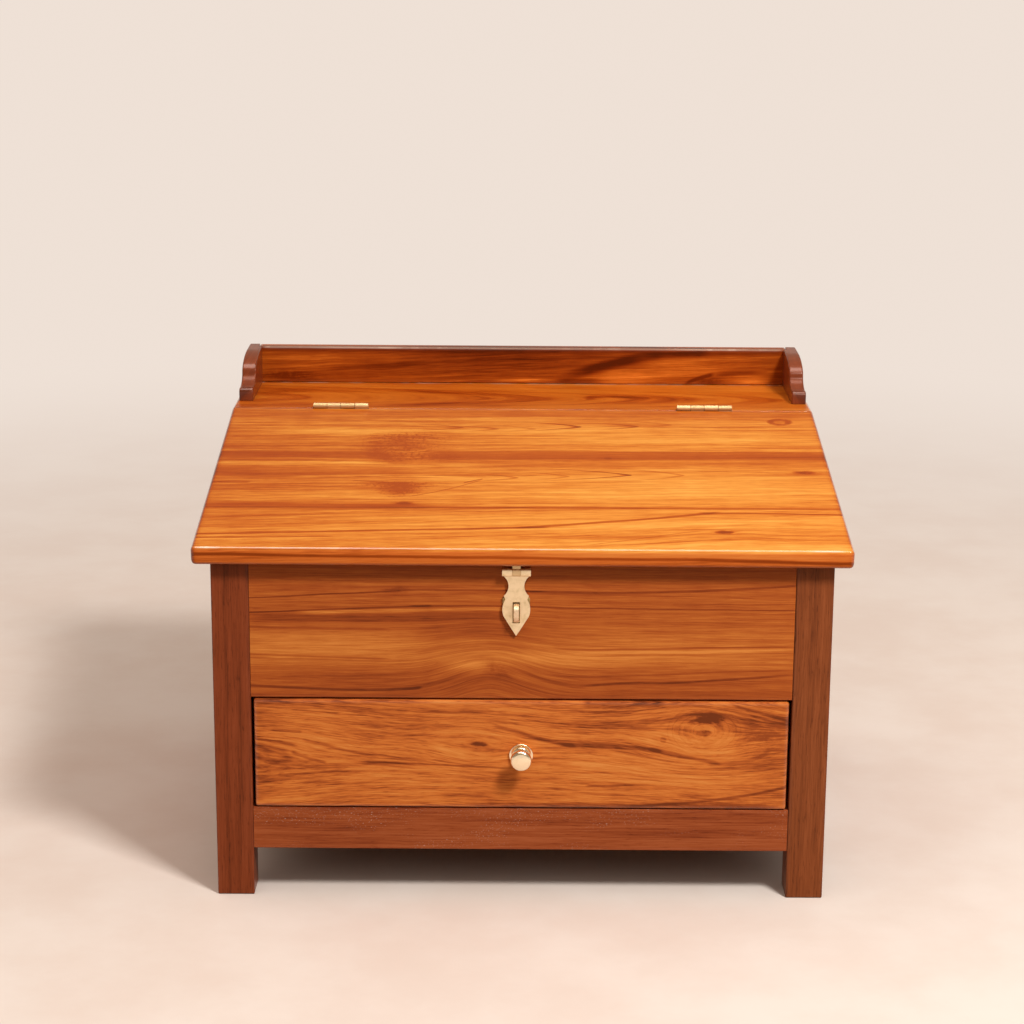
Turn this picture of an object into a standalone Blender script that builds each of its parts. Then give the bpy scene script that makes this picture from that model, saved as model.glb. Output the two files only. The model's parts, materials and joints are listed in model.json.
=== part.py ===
"""Slant-top writing desk: a teak case on legs, with a hinged lid, a gallery ledge, a drawer and a brass hasp.

Metres, +Z up. X runs across the desk. Depths run along Y, counted back from the front face of the legs.
"""

import math

import bmesh
import bpy
from mathutils import Matrix, Vector

# Clearances
SEAT_GAP = 0.0003
JOINT_GAP = 0.001
LEAF_GAP = 0.0004
KNUCKLE_GAP = 0.0006
BORE_CLEARANCE = 0.0002
NOTCH_CLEARANCE = 0.0004
CUT_OVER = 0.002

# Case
CASE_WIDTH = 0.635
CASE_DEPTH = 0.523
LEG_SIDE = 0.0385
LEG_EASING = 0.0015
FACE_INSET = 0.001
FRONT_THICKNESS = 0.018
SIDE_THICKNESS = 0.016
BACK_THICKNESS = 0.016
UNDERSIDE_HEIGHT = 0.052
RAIL_HEIGHT = 0.0455
TONGUE_THICKNESS = 0.008
TONGUE_LENGTH = 0.010
TONGUE_SHOULDER = 0.008
FLOOR_THICKNESS = 0.008
FLOOR_GROOVE = 0.0035
FLOOR_RAISE = 0.006

# Lid and ledge
FRONT_OVERHANG = 0.0175
SIDE_OVERHANG = 0.0175
REAR_OVERHANG = 0.0175
LEDGE_TOP = 0.4435
LEDGE_DEPTH = 0.168
LEDGE_THICKNESS = 0.020
LID_THICKNESS = 0.020
LID_FRONT_HEIGHT = 0.3827
EDGE_RADIUS = 0.0045
JOINT_EASING = 0.0012

# Gallery
GALLERY_HEIGHT = 0.0438
GALLERY_THICKNESS = 0.0165
GALLERY_INSET = 0.004
GALLERY_HOUSING = 0.004
GALLERY_EASING = 0.002
BRACKET_LENGTH = 0.1265
TOE_HEIGHT = 0.009
NOSE_RUN = 0.013
NOSE_RISE = 0.0125
STEP_RUN = 0.013
COVE_RUN = 0.012
COVE_RISE = 0.0085
SHOULDER_RUN = 0.022

# Drawer
DRAWER_FRONT_HEIGHT = 0.1175
DRAWER_FRONT_THICKNESS = 0.018
DRAWER_FRONT_EASING = 0.0025
DRAWER_GAP_BELOW = 0.0013
DRAWER_GAP_ABOVE = 0.0021
DRAWER_GAP_SIDE = 0.0028
DRAWER_SIDE_THICKNESS = 0.012
DRAWER_SIDE_HEIGHT = 0.108
DRAWER_LAP = 0.010
DRAWER_BACK_GAP = 0.0005
DRAWER_BACK_SETBACK = 0.010
DRAWER_BOTTOM_THICKNESS = 0.006
DRAWER_BOTTOM_RAISE = 0.010
DRAWER_GROOVE = 0.005
DRAWER_HOUSING = 0.004
RUNNER_WIDTH = 0.042
RUNNER_THICKNESS = 0.016
GUIDE_HEIGHT = 0.020
GUIDE_CLEARANCE = 0.0008

# Knob
KNOB_PROJECTION = 0.024
KNOB_HEAD_RADIUS = 0.0109
KNOB_HEAD_DEPTH = 0.0085
KNOB_DOME = 0.0012
KNOB_RIM_RUN = 0.0022
KNOB_RIM_DEPTH = 0.0024
KNOB_EASING = 0.0008
KNOB_NECK_RADIUS = 0.0055
KNOB_RING_RADIUS = 0.0092
KNOB_RING_DEPTH = 0.0026
KNOB_FLANGE_RADIUS = 0.0124
KNOB_FLANGE_DEPTH = 0.0028
KNOB_SCREW_RADIUS = 0.0019
KNOB_SCREW_HEAD_RADIUS = 0.0038
KNOB_SCREW_HEAD_DEPTH = 0.0025
KNOB_SCREW_GRIP = 0.012

# Butt hinges
HINGE_SPREAD = 0.419
HINGE_LENGTH = 0.0635
HINGE_KNUCKLES = 4
HINGE_AXIS_RISE = 0.0028
BARREL_RADIUS = 0.0032
HINGE_PIN_RADIUS = 0.0014
LEAF_THICKNESS = 0.0016
LEAF_DROP = 0.015
LEAF_SCREW_DROP = 0.008
LEAF_SCREW_PITCH = 0.022

# Wood screws
SCREW_HEAD_RADIUS = 0.0028
SCREW_HEAD_DEPTH = 0.0014
SCREW_SHANK_RADIUS = 0.0013
SCREW_TIP = 0.002
SCREW_SINK = 0.00005
SCREW_SLOT_WIDTH = 0.0008
SCREW_SLOT_DEPTH = 0.0006
LEAF_SCREW_LENGTH = 0.016
HASP_SCREW_LENGTH = 0.012

# Hasp and staple
HASP_OFFSET = -0.006
HASP_AXIS_DROP = 0.0091
HASP_AXIS_CLEARANCE = 0.0016
HASP_BARREL_RADIUS = 0.0037
HASP_PIN_RADIUS = 0.0017
HASP_WIDTH = 0.0292
HASP_CENTRE_KNUCKLE = 0.009
HASP_PLATE_THICKNESS = 0.0016
HASP_PLATE_WIDTH = 0.026
HASP_PLATE_LENGTH = 0.038
HASP_PLATE_LIP = 0.0006
HASP_PLATE_SCREW_PITCH = 0.014
HASP_PLATE_SCREW_INSET = 0.009
STRAP_THICKNESS = 0.002
STRAP_CLEARANCE = 0.0005
STRAP_BAND = 0.004
STRAP_INSET = 0.0003
WAIST_DROP = 0.0143
WAIST_WIDTH = 0.016
SHOULDER_DROP = 0.0256
SHOULDER_WIDTH = 0.0256
NOTCH_DROP = 0.0295
NOTCH_WIDTH = 0.0222
BELLY_DROP = 0.040
BELLY_WIDTH = 0.0284
FLANK_DROP = 0.0475
FLANK_WIDTH = 0.0256
TIP_DROP = 0.0684
SLOT_DROP = 0.032
SLOT_LENGTH = 0.0226
SLOT_WIDTH = 0.0076
STAPLE_WIDTH = 0.0055
STAPLE_STOCK = 0.0026
STAPLE_HEIGHT = 0.0192
STAPLE_PROJECTION = 0.013
STAPLE_BEND = 0.007
STAPLE_ROOT = 0.008
STAPLE_PLATE_THICKNESS = 0.0015
STAPLE_PLATE_WIDTH = 0.0278
STAPLE_PLATE_RISE = 0.0035
STAPLE_PLATE_STRAIGHT = 0.013
STAPLE_PLATE_FOOT = 0.012
STAPLE_PLATE_LENGTH = 0.029
STAPLE_SCREW_SPREAD = 0.019
STAPLE_SCREW_DROP = 0.0075

# Facets of round work
ARC_STEPS = 8
BARREL_STEPS = 20
KNOB_STEPS = 32
SCREW_STEPS = 12
EDGE_STEPS = 3

# Places that follow from the sizes
CASE_HALF = CASE_WIDTH / 2
TOP_HALF = CASE_HALF + SIDE_OVERHANG
LEG_INNER = CASE_HALF - LEG_SIDE
REAR_LEG_FRONT = CASE_DEPTH - LEG_SIDE
PANEL_FACE = FACE_INSET
PANEL_BACK = FACE_INSET + FRONT_THICKNESS
BACK_FACE = CASE_DEPTH - FACE_INSET - BACK_THICKNESS
SIDE_OUTER = CASE_HALF - FACE_INSET
SIDE_INNER = SIDE_OUTER - SIDE_THICKNESS
TOP_REAR = CASE_DEPTH + REAR_OVERHANG
JOINT_Y = TOP_REAR - LEDGE_DEPTH
LEDGE_SEAT = LEDGE_TOP - LEDGE_THICKNESS - SEAT_GAP
SLOPE = math.atan2(LEDGE_TOP - LID_FRONT_HEIGHT, JOINT_Y + FRONT_OVERHANG)
HINGE_AXIS = Vector((0, JOINT_Y, LEDGE_TOP + HINGE_AXIS_RISE))
RAIL_TOP = UNDERSIDE_HEIGHT + RAIL_HEIGHT
DRAWER_BOTTOM = RAIL_TOP + DRAWER_GAP_BELOW
DRAWER_TOP = DRAWER_BOTTOM + DRAWER_FRONT_HEIGHT
PANEL_BOTTOM = DRAWER_TOP + DRAWER_GAP_ABOVE
DRAWER_HALF = LEG_INNER - DRAWER_GAP_SIDE
FLOOR_BOTTOM = PANEL_BOTTOM + FLOOR_RAISE
RUNNER_TOP = DRAWER_BOTTOM - SEAT_GAP
HASP_AXIS_Y = PANEL_FACE - HASP_AXIS_CLEARANCE - HASP_BARREL_RADIUS
STAPLE_PLATE_BACK = PANEL_FACE - SEAT_GAP
STRAP_BACK = STAPLE_PLATE_BACK - STAPLE_PLATE_THICKNESS - STRAP_CLEARANCE
FRONT_Y = -(TOP_REAR - max(KNOB_PROJECTION, FRONT_OVERHANG)) / 2

# Directions of an outline's own X, Y and thickness, as desk axes
SIDE_VIEW = Matrix(((0, 0, 1), (1, 0, 0), (0, 1, 0))).to_4x4()
FRONT_VIEW = Matrix(((1, 0, 0), (0, 0, -1), (0, 1, 0))).to_4x4()
PLAN_VIEW = Matrix.Identity(4)

# Colour, roughness and metallic value of each finish
FINISHES = {
    "dark_teak": ((0.145, 0.043, 0.020), 0.32, 0.0),
    "red_teak": ((0.220, 0.068, 0.026), 0.30, 0.0),
    "golden_teak": ((0.400, 0.150, 0.038), 0.26, 0.0),
    "figured_teak": ((0.300, 0.100, 0.030), 0.28, 0.0),
    "inner_teak": ((0.360, 0.190, 0.090), 0.60, 0.0),
    "brass": ((0.780, 0.650, 0.400), 0.28, 1.0),
}


def lid_top(y):
    """Height of the lid's upper face at a depth."""
    return LEDGE_TOP - (JOINT_Y - y) * math.tan(SLOPE)


def lid_under(y):
    """Height of the lid's lower face at a depth."""
    return lid_top(y) - LID_THICKNESS / math.cos(SLOPE)


def lid_seat(y):
    """Height at a depth of what the closed lid rests on."""
    return lid_under(y) - SEAT_GAP


HASP_AXIS = Vector((HASP_OFFSET, HASP_AXIS_Y, lid_under(HASP_AXIS_Y) - HASP_AXIS_DROP))


def clear_scene():
    """Removes every object, and makes the collections for the desk and for its cutters."""
    for found in list(bpy.data.objects):
        bpy.data.objects.remove(found, do_unlink=True)
    for name in ("slant_top_desk", "slant_top_desk_cutters"):
        made = bpy.data.collections.new(name)
        bpy.context.scene.collection.children.link(made)
    bpy.data.collections["slant_top_desk_cutters"].hide_render = True


def make_finish(name):
    """The material of one finish."""
    colour, roughness, metallic = FINISHES[name]
    material = bpy.data.materials.new(name)
    material.use_nodes = True
    shader = material.node_tree.nodes["Principled BSDF"]
    shader.inputs["Base Color"].default_value = (*colour, 1)
    shader.inputs["Roughness"].default_value = roughness
    shader.inputs["Metallic"].default_value = metallic
    return material


def make_pivot(name, place, parent=None):
    """An empty on a joint's axis, at a place in desk coordinates."""
    pivot = bpy.data.objects.new(name, None)
    bpy.data.collections["slant_top_desk"].objects.link(pivot)
    pivot.parent = parent
    pivot["place"] = tuple(place)
    pivot.location = Vector(place) - Vector(parent["place"]) if parent else Vector((0, FRONT_Y, 0))
    return pivot


def add_object(name, mesh, place, finish=None, pivot=None, turn=None):
    """An object at a place in desk coordinates: a part if it has a finish, or else a cutter."""
    made = bpy.data.objects.new(name, mesh)
    pivot = pivot or bpy.data.objects["desk_origin"]
    made.parent = pivot
    made.location = Vector(place) - Vector(pivot["place"])
    if turn:
        made.rotation_mode = "QUATERNION"
        made.rotation_quaternion = turn
    if finish:
        bpy.data.collections["slant_top_desk"].objects.link(made)
        if not mesh.materials:
            mesh.materials.append(bpy.data.materials[finish])
    else:
        bpy.data.collections["slant_top_desk_cutters"].objects.link(made)
        made.hide_render = True
        made.display_type = "WIRE"
    return made


def round_edges(form, radius, chosen, steps=EDGE_STEPS):
    """Rounds the edges of a bmesh whose middle point passes the test."""
    edges = [e for e in form.edges if chosen((e.verts[0].co + e.verts[1].co) / 2)]
    bmesh.ops.bevel(form, geom=edges, offset=radius, segments=steps, profile=0.5, affect="EDGES")


def add_block(name, low, high, finish=None, pivot=None, easing=0.0, steps=1):
    """A cuboid between two corners in desk coordinates, with its edges eased."""
    low, high = Vector(low), Vector(high)
    form = bmesh.new()
    bmesh.ops.create_cube(form, size=1.0)
    bmesh.ops.scale(form, vec=high - low, verts=form.verts)
    if easing:
        round_edges(form, easing, lambda middle: True, steps)
    mesh = bpy.data.meshes.new(name)
    form.to_mesh(mesh)
    form.free()
    return add_object(name, mesh, (low + high) / 2, finish, pivot)


def add_pocket(name, low, high):
    """A cutter that leaves room for a block between two corners."""
    grow = Vector((SEAT_GAP, SEAT_GAP, SEAT_GAP))
    return add_block(name, Vector(low) - grow, Vector(high) + grow)


def add_slab(name, points, view, near, far, finish=None, pivot=None, rounding=()):
    """A flat outline in a view, as thick as the distance between two places along that view.

    Each rounding is a radius and a test that picks edges by their middle, in desk coordinates.
    """
    curve = bpy.data.curves.new(name, "CURVE")
    curve.dimensions = "2D"
    curve.fill_mode = "BOTH"
    curve.extrude = abs(far - near) / 2
    spline = curve.splines.new("POLY")
    spline.points.add(len(points) - 1)
    for point, (u, v) in zip(spline.points, points):
        point.co = (u, v, 0, 1)
    spline.use_cyclic_u = True
    sketch = bpy.data.objects.new(name + "_outline", curve)
    bpy.context.scene.collection.objects.link(sketch)
    graph = bpy.context.evaluated_depsgraph_get()
    mesh = bpy.data.meshes.new_from_object(sketch.evaluated_get(graph))
    bpy.data.objects.remove(sketch)
    bpy.data.curves.remove(curve)
    thickness_axis = Vector([abs(v) for v in view.to_3x3() @ Vector((0, 0, 1))])
    form = bmesh.new()
    form.from_mesh(mesh)
    form.transform(Matrix.Translation(thickness_axis * (near + far) / 2) @ view)
    bmesh.ops.remove_doubles(form, verts=form.verts, dist=1e-6)
    bmesh.ops.dissolve_limit(form, angle_limit=0.01, verts=form.verts, edges=form.edges)
    bmesh.ops.recalc_face_normals(form, faces=form.faces)
    for radius, chosen in rounding:
        round_edges(form, radius, chosen)
    centre = sum((v.co for v in form.verts), Vector()) / len(form.verts)
    form.transform(Matrix.Translation(-centre))
    form.to_mesh(mesh)
    form.free()
    mesh.name = name
    return add_object(name, mesh, centre, finish, pivot)


def add_rod(name, centre, radius, length, steps, finish=None, pivot=None):
    """A round rod along X."""
    form = bmesh.new()
    bmesh.ops.create_cone(
        form, cap_ends=True, segments=steps, radius1=radius, radius2=radius, depth=length
    )
    form.transform(Matrix.Rotation(math.pi / 2, 4, "Y"))
    mesh = bpy.data.meshes.new(name)
    form.to_mesh(mesh)
    form.free()
    mesh.shade_smooth()
    mesh.set_sharp_from_angle(angle=math.radians(40))
    return add_object(name, mesh, centre, finish, pivot)


def turned_mesh(name, profile, steps):
    """A profile of (radius, height) points, top to bottom, turned about Z."""
    mesh = bpy.data.meshes.new(name)
    edges = [(i, i + 1) for i in range(len(profile) - 1)]
    mesh.from_pydata([(r, 0, z) for r, z in profile], edges, [])
    lathe = bpy.data.objects.new(name + "_lathe", mesh)
    bpy.context.scene.collection.objects.link(lathe)
    screw = lathe.modifiers.new("turn", "SCREW")
    screw.steps = steps
    screw.render_steps = steps
    screw.use_merge_vertices = True
    screw.merge_threshold = 1e-5
    graph = bpy.context.evaluated_depsgraph_get()
    turned = bpy.data.meshes.new_from_object(lathe.evaluated_get(graph))
    bpy.data.objects.remove(lathe)
    bpy.data.meshes.remove(mesh)
    turned.name = name
    turned.shade_smooth()
    turned.set_sharp_from_angle(angle=math.radians(40))
    return turned


def cut(part, cutter):
    """Takes a cutter away from a part."""
    boolean = part.modifiers.new("cut_" + cutter.name, "BOOLEAN")
    boolean.operation = "DIFFERENCE"
    boolean.object = cutter


def fuse(part, other):
    """Joins a cutter's shape to a part."""
    boolean = part.modifiers.new("fuse_" + other.name, "BOOLEAN")
    boolean.operation = "UNION"
    boolean.object = other


def quarter(centre, run, rise, start, steps=ARC_STEPS):
    """Points of a quarter of an ellipse from an angle in degrees, turning clockwise."""
    turns = [math.radians(start - 90 * i / steps) for i in range(steps + 1)]
    return [(centre[0] + run * math.cos(a), centre[1] + rise * math.sin(a)) for a in turns]


def arc_through(first, middle, last, steps=ARC_STEPS):
    """Points of the circular arc through three points."""
    (ax, ay), (bx, by), (cx, cy) = first, middle, last
    scale = 2 * (ax * (by - cy) + bx * (cy - ay) + cx * (ay - by))
    squares = [x * x + y * y for x, y in (first, middle, last)]
    centre_x = (squares[0] * (by - cy) + squares[1] * (cy - ay) + squares[2] * (ay - by)) / scale
    centre_y = (squares[0] * (cx - bx) + squares[1] * (ax - cx) + squares[2] * (bx - ax)) / scale
    radius = math.hypot(ax - centre_x, ay - centre_y)
    start = math.atan2(ay - centre_y, ax - centre_x)
    sweep = math.remainder(math.atan2(cy - centre_y, cx - centre_x) - start, 2 * math.pi)
    turns = [start + sweep * i / steps for i in range(steps + 1)]
    return [(centre_x + radius * math.cos(a), centre_y + radius * math.sin(a)) for a in turns]


def screw_profile(length, grow=0.0):
    """Profile of a countersunk wood screw whose head is flush with height 0, larger all round by grow."""
    head = SCREW_HEAD_RADIUS + grow
    shank = SCREW_SHANK_RADIUS + grow
    return [
        (0, grow),
        (head, grow),
        (head, 0),
        (shank, -SCREW_HEAD_DEPTH - grow),
        (shank, -length + SCREW_TIP),
        (0, -length - grow),
    ]


def screw_meshes(name, length):
    """The shared meshes of a slotted wood screw of one length, and of the hole that it needs."""
    profile = [point for i, point in enumerate(screw_profile(length)) if i != 1]
    blank = add_object(name + "_blank", turned_mesh(name + "_blank", profile, SCREW_STEPS), (0, 0, 0))
    reach = SCREW_HEAD_RADIUS + CUT_OVER
    low = (-reach, -SCREW_SLOT_WIDTH / 2, -SCREW_SLOT_DEPTH)
    slot = add_block(name + "_slot", low, (reach, SCREW_SLOT_WIDTH / 2, CUT_OVER))
    cut(blank, slot)
    bpy.context.view_layer.update()
    graph = bpy.context.evaluated_depsgraph_get()
    mesh = bpy.data.meshes.new_from_object(blank.evaluated_get(graph))
    mesh.name = name
    bpy.data.objects.remove(blank)
    bpy.data.objects.remove(slot)
    hole = turned_mesh(name + "_hole", screw_profile(length, SEAT_GAP), SCREW_STEPS)
    return mesh, hole


def drive_screw(name, meshes, place, facing, parts, pivot=None):
    """A wood screw with its head sunk at a place, facing a way, through the parts that it holds."""
    facing = Vector(facing).normalized()
    turn = facing.to_track_quat("Z", "Y")
    place = Vector(place) - facing * SCREW_SINK
    add_object(name, meshes[0], place, "brass", pivot, turn)
    hole = add_object(name + "_hole", meshes[1], place, turn=turn)
    for part in parts:
        cut(part, hole)


def add_tongue(name, panel, tongue, legs):
    """Adds a tongue to a panel and cuts its mortises in the legs that hold it."""
    fuse(panel, add_block(name + "_tongue", *tongue))
    mortise = add_pocket(name + "_mortise", *tongue)
    for leg in legs:
        cut(leg, mortise)


def make_legs():
    """Four square legs: the front ones are cut to the lid's slope, and the rear ones carry the ledge."""
    legs = {}
    for side, sign in (("left", -1), ("right", 1)):
        near, far = sorted((sign * LEG_INNER, sign * CASE_HALF))
        front = [(0, 0), (LEG_SIDE, 0), (LEG_SIDE, lid_seat(LEG_SIDE)), (0, lid_seat(0))]
        rear = [(REAR_LEG_FRONT, 0), (CASE_DEPTH, 0)]
        rear += [(y, LEDGE_SEAT) for y, z in reversed(rear)]
        for end, outline in (("front", front), ("rear", rear)):
            name = f"{end}_{side}_leg"
            ease = [(LEG_EASING, lambda middle: True)]
            legs[end, side] = add_slab(name, outline, SIDE_VIEW, near, far, "dark_teak", rounding=ease)
    return legs


def make_case(legs):
    """Panels and rail between the legs, with tongues in the legs, and the floor of the writing well."""
    reach = LEG_INNER - SEAT_GAP
    tongue_reach = LEG_INNER + TONGUE_LENGTH - SEAT_GAP
    front_legs = (legs["front", "left"], legs["front", "right"])
    rear_legs = (legs["rear", "left"], legs["rear", "right"])
    tongue_low = PANEL_FACE + (FRONT_THICKNESS - TONGUE_THICKNESS) / 2
    tongue_high = tongue_low + TONGUE_THICKNESS

    outline = [
        (PANEL_FACE, PANEL_BOTTOM),
        (PANEL_BACK, PANEL_BOTTOM),
        (PANEL_BACK, lid_seat(PANEL_BACK)),
        (PANEL_FACE, lid_seat(PANEL_FACE)),
    ]
    front = add_slab("front_panel", outline, SIDE_VIEW, -reach, reach, "figured_teak")
    low = (-tongue_reach, tongue_low, PANEL_BOTTOM + TONGUE_SHOULDER)
    high = (tongue_reach, tongue_high, lid_seat(PANEL_FACE) - TONGUE_SHOULDER)
    add_tongue("front_panel", front, (low, high), front_legs)

    low = (-reach, PANEL_FACE, UNDERSIDE_HEIGHT)
    rail = add_block("front_bottom_rail", low, (reach, PANEL_BACK, RAIL_TOP), "red_teak")
    low = (-tongue_reach, tongue_low, UNDERSIDE_HEIGHT + TONGUE_SHOULDER)
    high = (tongue_reach, tongue_high, RAIL_TOP - TONGUE_SHOULDER)
    add_tongue("front_bottom_rail", rail, (low, high), front_legs)

    low = (-reach, BACK_FACE, UNDERSIDE_HEIGHT)
    back = add_block("back_panel", low, (reach, BACK_FACE + BACK_THICKNESS, LEDGE_SEAT), "red_teak")
    back_tongue = BACK_FACE + (BACK_THICKNESS - TONGUE_THICKNESS) / 2
    low = (-tongue_reach, back_tongue, UNDERSIDE_HEIGHT + TONGUE_SHOULDER)
    high = (tongue_reach, back_tongue + TONGUE_THICKNESS, LEDGE_SEAT - TONGUE_SHOULDER)
    add_tongue("back_panel", back, (low, high), rear_legs)

    panels = [front, back]
    first, last = LEG_SIDE + SEAT_GAP, REAR_LEG_FRONT - SEAT_GAP
    outline = [
        (first, UNDERSIDE_HEIGHT),
        (last, UNDERSIDE_HEIGHT),
        (last, LEDGE_SEAT),
        (JOINT_Y, LEDGE_SEAT),
        (JOINT_Y, lid_seat(JOINT_Y)),
        (first, lid_seat(first)),
    ]
    for side, sign in (("left", -1), ("right", 1)):
        name = f"{side}_side_panel"
        near, far = sorted((sign * SIDE_INNER, sign * SIDE_OUTER))
        panel = add_slab(name, outline, SIDE_VIEW, near, far, "red_teak")
        middle = (near + far) / 2
        low = (middle - TONGUE_THICKNESS / 2, LEG_SIDE - TONGUE_LENGTH + SEAT_GAP)
        high = (middle + TONGUE_THICKNESS / 2, REAR_LEG_FRONT + TONGUE_LENGTH - SEAT_GAP)
        tongue = (
            (*low, UNDERSIDE_HEIGHT + TONGUE_SHOULDER),
            (*high, lid_seat(LEG_SIDE) - TONGUE_SHOULDER),
        )
        add_tongue(name, panel, tongue, (legs["front", side], legs["rear", side]))
        panels.append(panel)

    top = FLOOR_BOTTOM + FLOOR_THICKNESS
    add_slab("well_floor", floor_outline(0), PLAN_VIEW, FLOOR_BOTTOM, top, "inner_teak")
    groove = add_slab(
        "floor_groove", floor_outline(SEAT_GAP), PLAN_VIEW, FLOOR_BOTTOM - SEAT_GAP, top + SEAT_GAP
    )
    for panel in panels:
        cut(panel, groove)
    return front


def floor_outline(grow):
    """Plan of the well floor, let into the panels and notched round the legs, larger all round by grow."""
    narrow = LEG_INNER - SEAT_GAP + grow
    wide = SIDE_INNER + FLOOR_GROOVE - SEAT_GAP + grow
    front = PANEL_BACK - FLOOR_GROOVE + SEAT_GAP - grow
    rear = BACK_FACE + FLOOR_GROOVE - SEAT_GAP + grow
    front_leg = LEG_SIDE + SEAT_GAP - grow
    rear_leg = REAR_LEG_FRONT - SEAT_GAP + grow
    right = [
        (narrow, front),
        (narrow, front_leg),
        (wide, front_leg),
        (wide, rear_leg),
        (narrow, rear_leg),
        (narrow, rear),
    ]
    return right + [(-x, y) for x, y in reversed(right)]


def make_drawer_bearers():
    """A runner under each side of the drawer, and a guide on it that keeps the drawer straight."""
    outer = SIDE_INNER - SEAT_GAP
    first, last = LEG_SIDE + SEAT_GAP, REAR_LEG_FRONT - SEAT_GAP
    guide_bottom = RUNNER_TOP + SEAT_GAP
    for side, sign in (("left", -1), ("right", 1)):
        near, far = sorted((sign * outer, sign * (outer - RUNNER_WIDTH)))
        low, high = (near, first, RUNNER_TOP - RUNNER_THICKNESS), (far, last, RUNNER_TOP)
        add_block(f"{side}_drawer_runner", low, high, "inner_teak")
        near, far = sorted((sign * outer, sign * (DRAWER_HALF + GUIDE_CLEARANCE)))
        low, high = (near, first, guide_bottom), (far, last, guide_bottom + GUIDE_HEIGHT)
        add_block(f"{side}_drawer_guide", low, high, "inner_teak")


def make_ledge():
    """The flat board behind the lid."""
    front = JOINT_Y + JOINT_GAP / 2
    outline = [(-TOP_HALF, front), (TOP_HALF, front), (TOP_HALF, TOP_REAR), (-TOP_HALF, TOP_REAR)]
    near_joint = front + JOINT_EASING
    rounding = [
        (EDGE_RADIUS, lambda middle: middle.y > near_joint),
        (JOINT_EASING, lambda middle: middle.y < near_joint and abs(middle.x) < TOP_HALF / 2),
    ]
    bottom = LEDGE_TOP - LEDGE_THICKNESS
    return add_slab(
        "top_ledge", outline, PLAN_VIEW, bottom, LEDGE_TOP, "red_teak", rounding=rounding
    )


def bracket_outline():
    """Side view of a gallery bracket: toe, round nose, step, cove, shoulder and flat top."""
    toe = TOP_REAR - GALLERY_INSET - BRACKET_LENGTH
    foot = LEDGE_TOP + SEAT_GAP
    nose_base = foot + TOE_HEIGHT
    step = nose_base + NOSE_RISE
    cove_start = toe + NOSE_RUN + STEP_RUN
    cove_top = step + COVE_RISE
    shoulder_start = cove_start + COVE_RUN
    top = foot + GALLERY_HEIGHT
    points = [(toe, foot)]
    points += quarter((toe + NOSE_RUN, nose_base), NOSE_RUN, NOSE_RISE, 180)
    points += list(reversed(quarter((cove_start, cove_top), COVE_RUN, COVE_RISE, 0)))
    shoulder_centre = (shoulder_start + SHOULDER_RUN, cove_top)
    points += quarter(shoulder_centre, SHOULDER_RUN, top - cove_top, 180)[1:]
    rear = TOP_REAR - GALLERY_INSET
    return points + [(rear, top), (rear, foot)]


def make_gallery():
    """A low rail at the back of the ledge, rabbeted into a shaped bracket at each end."""
    outer = TOP_HALF - GALLERY_INSET
    inner = outer - GALLERY_THICKNESS
    rear = TOP_REAR - GALLERY_INSET
    foot = LEDGE_TOP + SEAT_GAP
    reach = inner + GALLERY_HOUSING - SEAT_GAP
    low, high = (-reach, rear - GALLERY_THICKNESS, foot), (reach, rear, foot + GALLERY_HEIGHT)
    add_block("gallery_rail", low, high, "red_teak", easing=GALLERY_EASING, steps=2)
    housing = add_pocket("gallery_housing", low, high)
    for side, sign in (("left", -1), ("right", 1)):
        near, far = sorted((sign * inner, sign * outer))
        bracket = add_slab(
            f"gallery_{side}_bracket", bracket_outline(), SIDE_VIEW, near, far, "dark_teak"
        )
        cut(bracket, housing)


def make_lid(pivot):
    """The sloping lid: square at its front edge, and upright at the joint with the ledge."""
    rear = JOINT_Y - JOINT_GAP / 2
    outline = [
        (-FRONT_OVERHANG, LID_FRONT_HEIGHT),
        (rear, lid_top(rear)),
        (rear, lid_under(rear)),
        (
            -FRONT_OVERHANG + LID_THICKNESS * math.sin(SLOPE),
            LID_FRONT_HEIGHT - LID_THICKNESS * math.cos(SLOPE),
        ),
    ]
    near_joint = rear - JOINT_EASING
    rounding = [
        (EDGE_RADIUS, lambda middle: middle.y < near_joint),
        (JOINT_EASING, lambda middle: middle.y > near_joint and abs(middle.x) < TOP_HALF / 2),
    ]
    return add_slab(
        "lid", outline, SIDE_VIEW, -TOP_HALF, TOP_HALF, "golden_teak", pivot, rounding=rounding
    )


def knuckle_span(centre, index):
    """Ends along X of one knuckle of a butt hinge."""
    pitch = HINGE_LENGTH / HINGE_KNUCKLES
    start = centre - HINGE_LENGTH / 2 + index * pitch
    return start + KNUCKLE_GAP / 2, start + pitch - KNUCKLE_GAP / 2


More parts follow.
